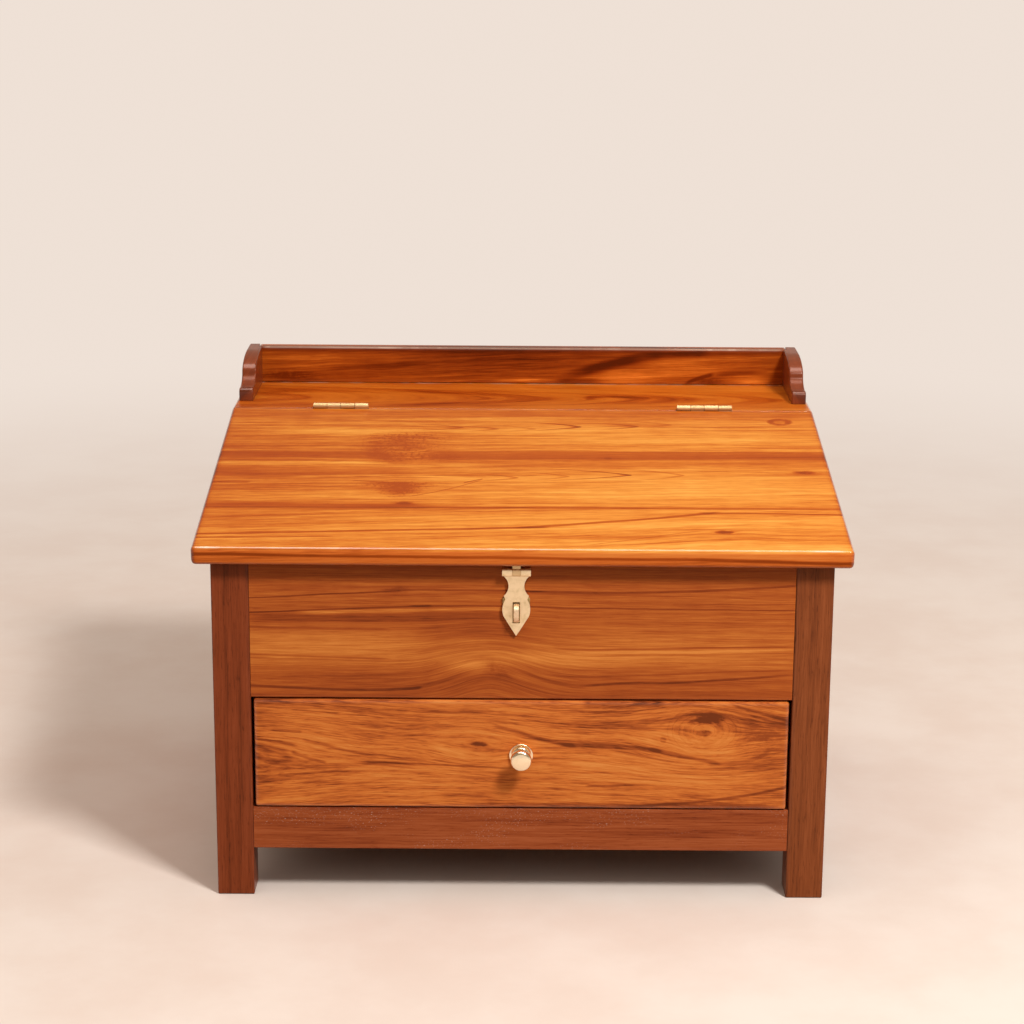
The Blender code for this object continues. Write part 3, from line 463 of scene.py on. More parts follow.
class GrowthRings(Effect):
    """Year lines, bands, streaks, fibres and pores of teak, which all follow the rings."""

    title = "teak_growth_rings"
    takes = {
        "Along": 0.0, "Across": 0.0, "Depth": 0.0, "Ring": 0.0, "Spacing": 0.006, "Run": 5.0, "Seed": 0.0,
    }
    gives = ("Line", "Streaky", "Broad", "Fibre", "Pore", "Silk")
    uneven_pace = 0.41
    uneven_years = 2.2
    late_wood = (0.58, 0.94)
    year_end = (1.0, 0.96)
    patches = Lumps(8.0, 0.7, 1.0)
    patch_edge = (0.36, 0.60)
    seed_stretch = 3.7
    streaks = Lumps(1.0, 190.0, 1.0, 5.0, 0.64)
    fibres = Lumps(5.2, 900.0, 1.0, 2.0, 0.6)
    pores = Lumps(75.0, 800.0, 800.0)
    pore_edge = (0.58, 0.70)
    # Soft patches of a faint painted sheen, also read as a plain noise.
    silk = Lumps(38.0, 30.0, 30.0)
    band_pace = 0.2
    band_start = 9.0
    band_detail = 2.0

    @classmethod
    def wire(cls, wiring: Wiring, given: Signals) -> Signals:
        """Reads every mark at a place along the grain, across it and under the face.

        Args:
            wiring: the group's own tree.
            given: the group's inputs by name.

        Returns:
            The group's outputs by name.
        """
        along, across, depth, seed = (given[name] for name in ("Along", "Across", "Depth", "Seed"))
        ring, run = given["Ring"], along * given["Run"]
        year = ring / given["Spacing"] + seed
        year = year + wiring.wander(year * cls.uneven_pace) * cls.uneven_years
        age = year.rest()
        weight = wiring.draw(year.whole())
        patchy = cls.patches.over(wiring, along, year, seed, seed).step(*cls.patch_edge)
        line = age.step(*cls.late_wood) * age.step(*cls.year_end) * weight.squared() * patchy
        start = seed * cls.seed_stretch
        return {
            "Line": line,
            "Streaky": cls.streaks.over(wiring, run, ring, seed, start),
            "Broad": wiring.wander(year * cls.band_pace + cls.band_start, cls.band_detail),
            "Fibre": cls.fibres.over(wiring, run, ring, seed, start),
            "Pore": cls.pores.over(wiring, along, across, depth, start).step(*cls.pore_edge),
            "Silk": cls.silk.over(wiring, along, across, depth, start),
        }


class KnotEye(Effect):
    """A soft oval on a board's face, for a knot, a stain or a swelling of the grain."""

    title = "knot_eye"
    takes = {
        "Along": 0.0, "Across": 0.0, "At Along": 0.0, "At Across": 0.0, "Half Length": 0.02,
        "Half Height": 0.01,
    }
    gives = ("Eye", "Radius")

    @classmethod
    def wire(cls, wiring: Wiring, given: Signals) -> Signals:
        """Fades from the middle of the oval outwards.

        Args:
            wiring: the group's own tree.
            given: the group's inputs by name.

        Returns:
            The group's outputs by name.
        """
        run = (given["Along"] - given["At Along"]) / given["Half Length"]
        rise = (given["Across"] - given["At Across"]) / given["Half Height"]
        spread = run.squared() + rise.squared()
        return {"Eye": spread.fade(), "Radius": spread.root()}


class StainPatches(Effect):
    """The broken colour inside a stain: a mottle, and small dark specks."""

    title = "stain_patches"
    takes = {"Along": 0.0, "Across": 0.0}
    gives = ("Mottle", "Speck")
    mottle = Lumps(140.0, 200.0, 1.0, 3.0, 0.65)
    specks = Lumps(250.0, 190.0, 1.0, 3.0, 0.6)
    speck_layer = 7.0
    speck_edge = (0.50, 0.66)

    @classmethod
    def wire(cls, wiring: Wiring, given: Signals) -> Signals:
        """Reads both on the board's face.

        Args:
            wiring: the group's own tree.
            given: the group's inputs by name.

        Returns:
            The group's outputs by name.
        """
        place = given["Along"], given["Across"]
        speck = cls.specks.over(wiring, *place, cls.speck_layer).step(*cls.speck_edge)
        return {"Mottle": cls.mottle.over(wiring, *place, 0.0), "Speck": speck}


class StreakLine(Effect):
    """A line or a band that runs with the grain between two places, level or bowed."""

    title = "streak_line"
    takes = {
        "Along": 0.0, "Across": 0.0, "Start": 0.0, "End": 0.1, "At Start": 0.0, "At End": 0.0, "Bow": 0.0,
        "Half Width": 0.001, "Taper": 0.12,
    }
    gives = ("Streak",)
    side_fade = (1.5, 0.35)

    @classmethod
    def wire(cls, wiring: Wiring, given: Signals) -> Signals:
        """Fades to both sides of the line, and towards its two ends.

        Args:
            wiring: the group's own tree.
            given: the group's inputs by name.

        Returns:
            The group's outputs by name.
        """
        start, end, taper = given["Start"], given["End"], given["Taper"]
        share = (given["Along"] - start) / (end - start)
        middle = given["At Start"] + share * (given["At End"] - given["At Start"])
        # A share times its rest is a quarter half way along, so four of it make the whole bow.
        middle = middle + given["Bow"] * 4.0 * share * (1.0 - share)
        beside = (given["Across"] - middle).size() / given["Half Width"]
        ends = share.step(0.0, taper) * (1.0 - share).step(0.0, taper)
        return {"Streak": beside.step(*cls.side_fade) * ends}


class CathedralTip(Effect):
    """The pointed end of a year line, where it turns back along the board."""

    title = "cathedral_tip"
    takes = {
        "Along": 0.0, "Across": 0.0, "At Along": 0.0, "At Across": 0.0, "Length": 0.03,
        "Half Height": 0.012, "Width": 0.0024,
    }
    gives = ("Tip",)
    outer_fade = -0.8
    inner_fade = 7.0
    end_fade = (1.8, 0.2)

    @classmethod
    def wire(cls, wiring: Wiring, given: Signals) -> Signals:
        """Opens to the left of the point, sharp outside the line and shaded off inside it.

        Args:
            wiring: the group's own tree.
            given: the group's inputs by name.

        Returns:
            The group's outputs by name.
        """
        rise = ((given["Across"] - given["At Across"]) / given["Half Height"]).size()
        opened = rise * rise.root()
        inside = given["At Along"] - given["Along"] - opened * given["Length"]
        outer, inner = (given["Width"] * fade for fade in (cls.outer_fade, cls.inner_fade))
        line = inside.step(outer, 0.0) * inside.step(inner, 0.0).squared()
        return {"Tip": line * opened.step(*cls.end_fade)}


class Arris(Effect):
    """How far a place on a board lies from the nearest arris."""

    title = "arris_distance"
    takes = {"Point": (0.0, 0.0, 0.0), "Low": (0.0, 0.0, 0.0), "High": (1.0, 1.0, 1.0)}
    gives = ("Distance",)

    @classmethod
    def wire(cls, wiring: Wiring, given: Signals) -> Signals:
        """Takes the second smallest of the distances to the board's faces.

        Args:
            wiring: the group's own tree.
            given: the group's inputs by name.

        Returns:
            The group's outputs by name.
        """
        places, lows, highs = (wiring.parts(given[name]) for name in ("Point", "Low", "High"))
        u, v, w = ((p - low).least(high - p) for p, low, high in zip(places, lows, highs))
        return {"Distance": u.least(v).most(u.most(v).least(w))}


class DustFlecks(Effect):
    """Pale specks of dust and of bruised lacquer, in drifts."""

    title = "dust_flecks"
    takes = {"Point": (0.0, 0.0, 0.0), "Seed": 0.0}
    gives = ("Fleck",)
    specks = Lumps(420.0, 900.0, 900.0)
    speck_edge = (0.60, 0.74)
    drifts = Lumps(14.0, 40.0, 40.0, 1.0)
    drift_edge = (0.46, 0.66)

    @classmethod
    def wire(cls, wiring: Wiring, given: Signals) -> Signals:
        """Keeps the peaks of a fine noise where a coarse one is high.

        Args:
            wiring: the group's own tree.
            given: the group's inputs by name.

        Returns:
            The group's outputs by name.
        """
        place = wiring.parts(given["Point"])
        speck = cls.specks.over(wiring, *place, given["Seed"]).step(*cls.speck_edge)
        drift = cls.drifts.over(wiring, *place, given["Seed"]).step(*cls.drift_edge)
        return {"Fleck": speck * drift}


class LacquerFilm(Effect):
    """The brushed lacquer: long low ripples, and places that are handled dull."""

    title = "lacquer_film"
    takes = {"Along": 0.0, "Across": 0.0, "Depth": 0.0, "Seed": 0.0}
    gives = ("Ripple", "Smudge")
    ripples = Lumps(14.0, 170.0, 170.0)
    smudges = Lumps(11.0, 15.0, 15.0, 3.0)

    @classmethod
    def wire(cls, wiring: Wiring, given: Signals) -> Signals:
        """Stretches the ripples along the grain, and leaves the smudges round.

        Args:
            wiring: the group's own tree.
            given: the group's inputs by name.

        Returns:
            The group's outputs by name.
        """
        place = given["Along"] + given["Seed"], given["Across"], given["Depth"]
        return {"Ripple": cls.ripples.over(wiring, *place), "Smudge": cls.smudges.over(wiring, *place)}


class BrassSkin(Effect):
    """Worked brass: fine scratches, uneven tarnish and small dents."""

    title = "brass_skin"
    takes = {"Point": (0.0, 0.0, 0.0), "Seed": 0.0}
    gives = ("Scratch", "Tarnish", "Dent")
    scratches = Lumps(2600.0, 900.0, 160.0)
    tarnish = Lumps(190.0, 190.0, 190.0, 4.0, 0.6)
    dents = Lumps(420.0, 420.0, 420.0, 1.0)

    @classmethod
    def wire(cls, wiring: Wiring, given: Signals) -> Signals:
        """Runs the scratches up and down, and spreads the tarnish in patches.

        Args:
            wiring: the group's own tree.
            given: the group's inputs by name.

        Returns:
            The group's outputs by name.
        """
        x, y, z = wiring.parts(given["Point"])
        skins = zip(cls.gives, (cls.scratches, cls.tarnish, cls.dents))
        return {name: lumps.over(wiring, x + given["Seed"], y, z) for name, lumps in skins}


class KnuckleBands(Effect):
    """The knuckles of a hinge, each a little duller or brighter, with a dark joint between them."""

    title = "knuckle_bands"
    takes = {"Place": 0.0, "Start": 0.0, "Pitch": 0.016, "Seed": 0.0}
    gives = ("Shade", "Joint")
    joint_edge = (0.462, 0.492)

    @classmethod
    def wire(cls, wiring: Wiring, given: Signals) -> Signals:
        """Counts the knuckles along the barrel.

        Args:
            wiring: the group's own tree.
            given: the group's inputs by name.

        Returns:
            The group's outputs by name.
        """
        count = (given["Place"] - given["Start"]) / given["Pitch"]
        off_middle = (count.rest() - MIDDLE).size()
        shade = wiring.draw(count.whole() + given["Seed"])
        return {"Shade": shade, "Joint": off_middle.step(*cls.joint_edge)}


@dataclass(frozen=True)
class Knot:
    """A knot, a stain or a swelling on a board's face, in metres along the grain and across it.

    Attributes:
        along: its middle along the grain.
        across: its middle across the grain.
        half_length: half its length.
        half_height: half its height.
        part: how far the grain parts round it, from 0 to 1.
        lift: how far it lifts the grain, in metres.
        stain: how dark its uneven stain is.
        core: how dark its hard middle is.
        rings: how dark the rings inside it are.
        hoop: how dark the hoop round it is.
        specks: how dark the specks in it are.
        glow: how much lighter, or darker below 0, the wood is there.
    """

    along: float
    across: float
    half_length: float
    half_height: float
    part: float = 0.0
    lift: float = 0.0
    stain: float = 0.0
    core: float = 0.0
    rings: float = 0.0
    hoop: float = 0.0
    specks: float = 0.0
    glow: float = 0.0


@dataclass(frozen=True)
class Streak:
    """A dark or, with a negative tone, light line or band along the grain, in metres."""

    start: float
    end: float
    at_start: float
    at_end: float
    half_width: float
    tone: float
    bow: float = 0.0
    taper: float = 0.12


@dataclass(frozen=True)
class Tip:
    """The pointed end of a year line, in metres along the grain and across it."""

    along: float
    across: float
    length: float
    half_height: float
    tone: float


@dataclass(frozen=True)
class Strip:
    """One of the boards that a wide board is glued up from, and where the tree's pith lay under it."""

    edge: float = -1.0
    pith_across: float = 0.0
    pith_lean: float = 0.0
    pith_depth: float = 0.2
    pith_fall: float = 0.0
    shift: float = 0.0


@dataclass(frozen=True)
class Figure:
    """The natural figure of one board.

    Attributes:
        seed: sets the marks that are left to chance.
        strips: the boards that it is glued up from.
        knots: its knots, stains and swellings.
        streaks: its dark and light lines and bands.
        tips: the pointed ends of its year lines.
        dust_lines: pale lines, mostly along an arris: lines of dust, and painted highlights where a rounded
            arris catches the light.
        dust_steady: how unbroken those lines are, from 0 to 1.
        spacing: the width of a year.
        waver: how far the grain wavers.
        curl: how far it curls.
        run: how many streaks start in a metre along it.
    """

    seed: float
    strips: tuple[Strip, ...] = (Strip(),)
    knots: tuple[Knot, ...] = ()
    streaks: tuple[Streak, ...] = ()
    tips: tuple[Tip, ...] = ()
    dust_lines: tuple[Streak, ...] = ()
    dust_steady: float = 0.0
    spacing: float = 0.006
    waver: float = 0.010
    curl: float = 0.002
    run: float = 5.0

    def again(self, shift: float) -> "Figure":
        """The same figure with other chance marks."""
        return replace(self, seed=self.seed + shift)


@dataclass(frozen=True)
class Board:
    """A board and its own frame: along the grain, across it, and out of its show face."""

    node: str
    figure: Figure
    along: Triple
    across: Triple
    origin: Triple

    @classmethod
    def squared(cls, node: str, figure: Figure, along: Way, across: Way, share: float = 0.0) -> "Board":
        """A board that lies square on the desk, with its frame on its show face.

        Args:
            node: the board's node.
            figure: its figure.
            along: the way of the grain.
            across: the way across the grain on the show face.
            share: where across starts, as a share of the board's width from its low side.

        Returns:
            The board.
        """
        low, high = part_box(node)
        out = Vector(along.value).cross(Vector(across.value))
        origin = [0.0, 0.0, 0.0]
        for axis in range(3):
            if across.value[axis]:
                origin[axis] = low[axis] + (high[axis] - low[axis]) * share
            elif out[axis]:
                origin[axis] = high[axis] if out[axis] > 0 else low[axis]
        return cls(node, figure, along.value, across.value, tuple(origin))

    def turn(self) -> Matrix:
        """The board's three directions as the columns of a rotation."""
        along, across = Vector(self.along), Vector(self.across)
        return Matrix((along, across, along.cross(across))).transposed()

    def own(self, point: Vector) -> Vector:
        """A point of the desk in the board's own frame."""
        return self.turn().transposed() @ (point - Vector(self.origin))

    def span(self) -> tuple[Triple, Triple]:
        """Measures the board.

        Returns:
            Its lowest and its highest corner in its own frame.
        """
        corners = [self.own(vertex.co) for vertex in frame["nodes"][self.node].data.vertices]
        low = tuple(min(corner[axis] for corner in corners) for axis in range(3))
        high = tuple(max(corner[axis] for corner in corners) for axis in range(3))
        return low, high


def start_material(name: str) -> tuple[bpy.types.Material, Wiring, bpy.types.Node]:
    """Starts a material.

    Args:
        name: its name.

    Returns:
        The material, the wiring of its tree, and its shader.
    """
    made = bpy.data.materials.new(name)
    made.use_nodes = True
    return made, Wiring(made.node_tree), made.node_tree.nodes["Principled BSDF"]


class Grain:
    """The grain of one board, as signals in the board's material."""

    def __init__(self, wiring: Wiring, board: Board) -> None:
        """Finds the place in the board's own frame, bends the grain round the knots and reads the rings.

        Args:
            wiring: the material's tree.
            board: the board.
        """
        inputs = {
            "Vector": wiring.place(), "Location": board.origin, "Rotation": board.turn().to_euler()
        }
        own = wiring.node("ShaderNodeMapping", inputs, vector_type="TEXTURE")
        self.wiring = wiring
        self.figure = board.figure
        self.point = Signal(wiring, own.outputs[0])
        self.along, self.across, self.depth = wiring.parts(self.point)
        self.folded = self.across + self.depth.least(0.0)
        self.eyes, self.bent = self.bend()
        self.marks = self.rings()

    def bend(self) -> tuple[list[tuple[Knot, Signals]], Signal]:
        """Lets the grain sway, sets the knots on it, and lifts it where a knot says so.

        Returns:
            Each knot with its eye, and the place across the bent grain.
        """
        figure = self.figure
        sway = GrainSway.place(
            self.wiring, along=self.along, across=self.across, depth=self.depth, seed=figure.seed,
            waver=figure.waver, curl=figure.curl,
        )
        bent, eyes = self.folded + sway["Sway"], []
        for knot in figure.knots:
            eye = KnotEye.place(
                self.wiring, along=self.along, across=bent, at_along=knot.along, at_across=knot.across,
                half_length=knot.half_length, half_height=knot.half_height,
            )
            eyes.append((knot, eye))
        for knot, eye in eyes:
            if knot.lift:
                bent = bent - eye["Eye"] * knot.lift
        return eyes, bent

    def rings(self) -> Signals:
        """Reads the growth rings, with the grain parted round the knots.

        Returns:
            The rings' marks by name.
        """
        figure, parted = self.figure, self.bent
        for knot, eye in self.eyes:
            if knot.part:
                parted = parted - eye["Eye"] * (self.bent - knot.across) * knot.part
        ring = None
        for strip in figure.strips:
            beside = parted - self.along * strip.pith_lean - strip.pith_across
            below = self.depth + self.along * strip.pith_fall + strip.pith_depth
            reach = (beside.squared() + below.squared()).root() + strip.shift
            ring = reach if ring is None else ring + self.across.above(strip.edge) * (reach - ring)
        return GrowthRings.place(
            self.wiring, along=self.along, across=parted, depth=self.depth, seed=figure.seed,
            spacing=figure.spacing, run=figure.run, ring=ring,
        )

    def streak(self, streak: Streak, across: Signal) -> Signal:
        """One streak.

        Args:
            streak: the streak.
            across: the place across the board that it is read at.

        Returns:
            How strongly it marks each place.
        """
        values = asdict(streak)
        tone = values.pop("tone")
        return StreakLine.place(self.wiring, along=self.along, across=across, **values)["Streak"] * tone

    def tip(self, tip: Tip) -> Signal:
        """How strongly the pointed end of a year line marks each place."""
        mark = CathedralTip.place(
            self.wiring, along=self.along, across=self.bent, at_along=tip.along, at_across=tip.across,
            length=tip.length, half_height=tip.half_height,
        )
        return mark["Tip"] * tip.tone


@dataclass(frozen=True)
class TeakFinish:
    """Lacquered teak: its colours from dark to light, and how strongly each mark shows."""

    colours: Palette
    tone: float = 0.62
    line: float = 0.34
    streaky: float = 1.05
    broad: float = 0.34
    fibre: float = 0.50
    silk: float = 0.14
    pore: float = 0.08
    feature: float = 0.80
    stain_floor: float = 0.20
    edge_colours: Palette = ()
    edge_start: float = 0.0012
    edge_full: float = 0.0045
    dark_floor: float = 0.06
    arris: float = 0.10
    arris_width: float = 0.0022
    arris_coat: float = 0.8
    arris_reach: float = 0.0045
    dust: float = 0.0
    dust_colour: Triple = (0.66, 0.52, 0.42)
    roughness: float = 0.30
    smudge: float = 0.10
    gloss: float = 0.20
    gloss_tint: Triple = (1.0, 0.70, 0.45)
    bump: float = 0.12

    ripple_relief: ClassVar[float] = 0.60
    pore_relief: ClassVar[float] = 0.25
    line_relief: ClassVar[float] = 0.12
    relief: ClassVar[float] = 0.0004
    pore_haze: ClassVar[float] = 0.05
    coat_roughness: ClassVar[float] = 0.12
    coat_full: ClassVar[float] = 0.4
    streak_weight: ClassVar[float] = 2.0
    feature_start: ClassVar[float] = 0.5
    dust_break: ClassVar[Pair] = (0.42, 0.62)
    mottle_weight: ClassVar[float] = 2.6
    mottle_streaky: ClassVar[float] = 0.8
    mottle_mean: ClassVar[float] = 0.6
    core_mottle: ClassVar[float] = 0.5
    core_edge: ClassVar[Pair] = (0.30, 0.75)
    ring_count: ClassVar[float] = 5.2
    ring_mottle: ClassVar[float] = 1.2
    ring_pace: ClassVar[float] = 4.0
    ring_stray: ClassVar[float] = 3.0
    ring_rise: ClassVar[Pair] = (0.3, 0.85)
    ring_end: ClassVar[Pair] = (1.0, 0.88)
    ring_reach: ClassVar[Pair] = (1.35, 0.8)
    hoop_edge: ClassVar[Pair] = (0.55, 0.1)

    def material(self, board: Board) -> bpy.types.Material:
        """The material of one board.

        Args:
            board: the board, with its figure.

        Returns:
            The material.
        """
        made, wiring, shader = start_material(board.node + "_teak")
        grain = Grain(wiring, board)
        marks, figure = grain.marks, board.figure
        low, high = board.span()
        edge = Arris.place(wiring, point=grain.point, low=low, high=high)["Distance"]
        # Darker near each arris: wear on every board, and on the lid's wide band painted shade on its
        # rounded edges.
        wear_and_shade = (edge + marks["Silk"].swing() * self.arris_width).step(self.arris_width, 0.0)
        tone = self.knotted(grain, self.streaked(grain)) - wear_and_shade * self.arris
        film = LacquerFilm.place(
            wiring, along=grain.along, across=grain.bent, depth=grain.depth, seed=figure.seed
        )
        height = film["Ripple"] * self.ripple_relief - marks["Pore"] * self.pore_relief
        height = height - marks["Line"] * self.line_relief
        rough = self.roughness + film["Smudge"].swing() * self.smudge + marks["Pore"] * self.pore_haze
        coat = edge.step(self.arris_reach, self.arris_reach * self.coat_full) * self.arris_coat
        inputs = {
            "Base Color": self.dusted(grain, self.coloured(grain, tone, low[1])),
            "Roughness": rough,
            "Normal": wiring.bump(height, self.bump, self.relief),
            "Specular IOR Level": self.gloss,
            "Specular Tint": self.gloss_tint,
            "Coat Weight": coat,
            "Coat Roughness": self.coat_roughness,
        }
        wiring.fill(shader, inputs)
        return made

    def streaked(self, grain: Grain) -> Signal:
        """The tone of the plain wood, with its streaks and the tips of its year lines.

        Args:
            grain: the board's grain.

        Returns:
            The tone, from 0 for dark to 1 for light.
        """
        marks = grain.marks
        tone = self.tone - marks["Line"] * self.line - marks["Pore"] * self.pore
        tone = tone + marks["Streaky"].swing() * self.streaky + marks["Broad"].swing() * self.broad
        # The Silk mark paints a faint sheen into the tone, in soft patches.
        tone = tone + marks["Fibre"].swing() * self.fibre + marks["Silk"].swing() * self.silk
        strength = marks["Fibre"] + marks["Streaky"] * self.streak_weight
        strength = strength * self.feature - self.feature_start * self.feature
        for streak in grain.figure.streaks:
            tone = tone - grain.streak(streak, grain.bent) * strength
        for tip in grain.figure.tips:
            tone = tone - grain.tip(tip) * strength
        return tone

    def knotted(self, grain: Grain, tone: Signal) -> Signal:
        """Marks a board with its knots, stains and paler places.

        Args:
            grain: the board's grain.
            tone: the board's tone without them.

        Returns:
            The tone with them.
        """
        patches = StainPatches.place(grain.wiring, along=grain.along, across=grain.bent)
        mottle = patches["Mottle"]
        uneven = mottle.swing() * self.mottle_weight + grain.marks["Streaky"] * self.mottle_streaky
        uneven = uneven + self.mottle_mean
        stains, cores = [], []
        for knot, eye in grain.eyes:
            if knot.glow:
                tone = tone + eye["Eye"] * knot.glow
            if knot.stain:
                stains.append(eye["Eye"] * uneven * knot.stain)
            if knot.specks:
                stains.append(eye["Eye"] * patches["Speck"] * knot.specks)
            if knot.core:
                core = (eye["Eye"] + mottle.swing() * self.core_mottle).step(*self.core_edge)
                cores.append(core * knot.core)
            if knot.rings:
                stains.append(self.ringed(grain.wiring, eye["Radius"], mottle) * uneven * knot.rings)
            if knot.hoop:
                hoop = (eye["Radius"] - 1.0).size().step(*self.hoop_edge)
                stains.append(hoop * uneven * knot.hoop)
        if stains:
            tone = (tone - sum(stains) * self.feature).most(self.stain_floor).least(tone)
        if cores:
            tone = tone - sum(cores) * self.feature
        return tone.most(self.dark_floor)

    def ringed(self, wiring: Wiring, radius: Signal, mottle: Signal) -> Signal:
        """The uneven rings inside a knot.

        Args:
            wiring: the material's tree.
            radius: the distance from the knot's middle, with 1 at its rim.
            mottle: the broken colour inside it.

        Returns:
            1 on a ring and 0 beside it.
        """
        stray = wiring.wander(radius * self.ring_pace) * self.ring_stray
        turn = (radius * self.ring_count + mottle * self.ring_mottle + stray).rest()
        return turn.step(*self.ring_rise) * turn.step(*self.ring_end) * radius.step(*self.ring_reach)

    def coloured(self, grain: Grain, tone: Signal, foot: float) -> Signal:
        """The colour of the wood, with its own colours on the front edge where it has them.

        Args:
            grain: the board's grain.
            tone: the wood's tone.
            foot: where the board starts across the grain.

        Returns:
            The colour.
        """
        wiring = grain.wiring
        colour = wiring.palette(tone, self.colours)
        if not self.edge_colours:
            return colour
        on_edge = (0.0 - grain.depth).step(self.edge_start, self.edge_full)
        on_edge = on_edge * (grain.across - foot).step(self.edge_full, self.edge_start)
        return wiring.blend(on_edge, colour, wiring.palette(tone, self.edge_colours))

    def dusted(self, grain: Grain, colour: Signal) -> Signal:
        """The colour with dust flecks, pale dust lines and painted highlight lines over it.

        Args:
            grain: the board's grain.
            colour: the wood's colour.

        Returns:
            The colour with them.
        """
        figure, marks = grain.figure, grain.marks
        if not (self.dust or figure.dust_lines):
            return colour
        dust_and_highlight_mask = DustFlecks.place(grain.wiring, point=grain.point, seed=figure.seed)["Fleck"] * self.dust
        broken = marks["Pore"].most(marks["Silk"].step(*self.dust_break)).most(figure.dust_steady)
        # Pale lines: dust along a joint, and painted highlights along arrises that catch the light.
        for line in figure.dust_lines:
            dust_and_highlight_mask = dust_and_highlight_mask.most(grain.streak(line, grain.folded) * broken)
        return grain.wiring.blend(dust_and_highlight_mask, colour, self.dust_colour)


@dataclass(frozen=True)
class BrassFinish:
    """Brass, from polished to satin, with tarnish in its hollows."""

    bright: Triple = (0.86, 0.68, 0.44)
    dull: Triple = (0.62, 0.43, 0.20)
    roughness: float = 0.30
    haze: float = 0.16
    tarnish: float = 0.55
    bump: float = 0.10

    tarnish_start: ClassVar[float] = 0.34
    tarnish_gain: ClassVar[float] = 1.8
    scratch_share: ClassVar[float] = 0.3
    scratch_haze: ClassVar[float] = 0.08
    scratch_relief: ClassVar[float] = 0.4
    dent_relief: ClassVar[float] = 0.6
    relief: ClassVar[float] = 0.0003
    knuckle_mean: ClassVar[float] = 0.4
    knuckle_share: ClassVar[float] = 0.6
    joint_share: ClassVar[float] = 0.45
    joint_shade: ClassVar[float] = 0.3

    def material(self, node: str, seed: float, knuckles: Pair | None = None) -> bpy.types.Material:
        """The material of one brass piece.

        Args:
            node: the piece's node.
            seed: shifts the scratches, so that no two pieces match.
            knuckles: where a hinge's first knuckle starts along x, and how long each is.

        Returns:
            The material.
        """
        made, wiring, shader = start_material(node + "_brass")
        point = wiring.place()
        skin = BrassSkin.place(wiring, point=point, seed=seed)
        scratch, tarnish = skin["Scratch"].swing(), skin["Tarnish"]
        share = (tarnish - self.tarnish_start) * self.tarnish_gain * self.tarnish
        share = share + scratch * self.scratch_share
        if knuckles:
            start, pitch = knuckles
            x, _, _ = wiring.parts(point)
            band = KnuckleBands.place(wiring, place=x, start=start, pitch=pitch, seed=seed)
            share = share + (band["Shade"] - self.knuckle_mean) * self.knuckle_share
        colour = wiring.blend(share.step(0.0, 1.0), self.bright, self.dull)
        if knuckles:
            shade = tuple(value * self.joint_shade for value in self.dull)
            colour = wiring.blend(band["Joint"] * self.joint_share, colour, shade)
        height = skin["Scratch"] * self.scratch_relief + skin["Dent"] * self.dent_relief
        inputs = {
            "Base Color": colour,
            "Roughness": self.roughness + tarnish.swing() * self.haze + scratch * self.scratch_haze,
            "Normal": wiring.bump(height, self.bump, self.relief),
            "Metallic": 1.0,
        }
        wiring.fill(shader, inputs)
        return made


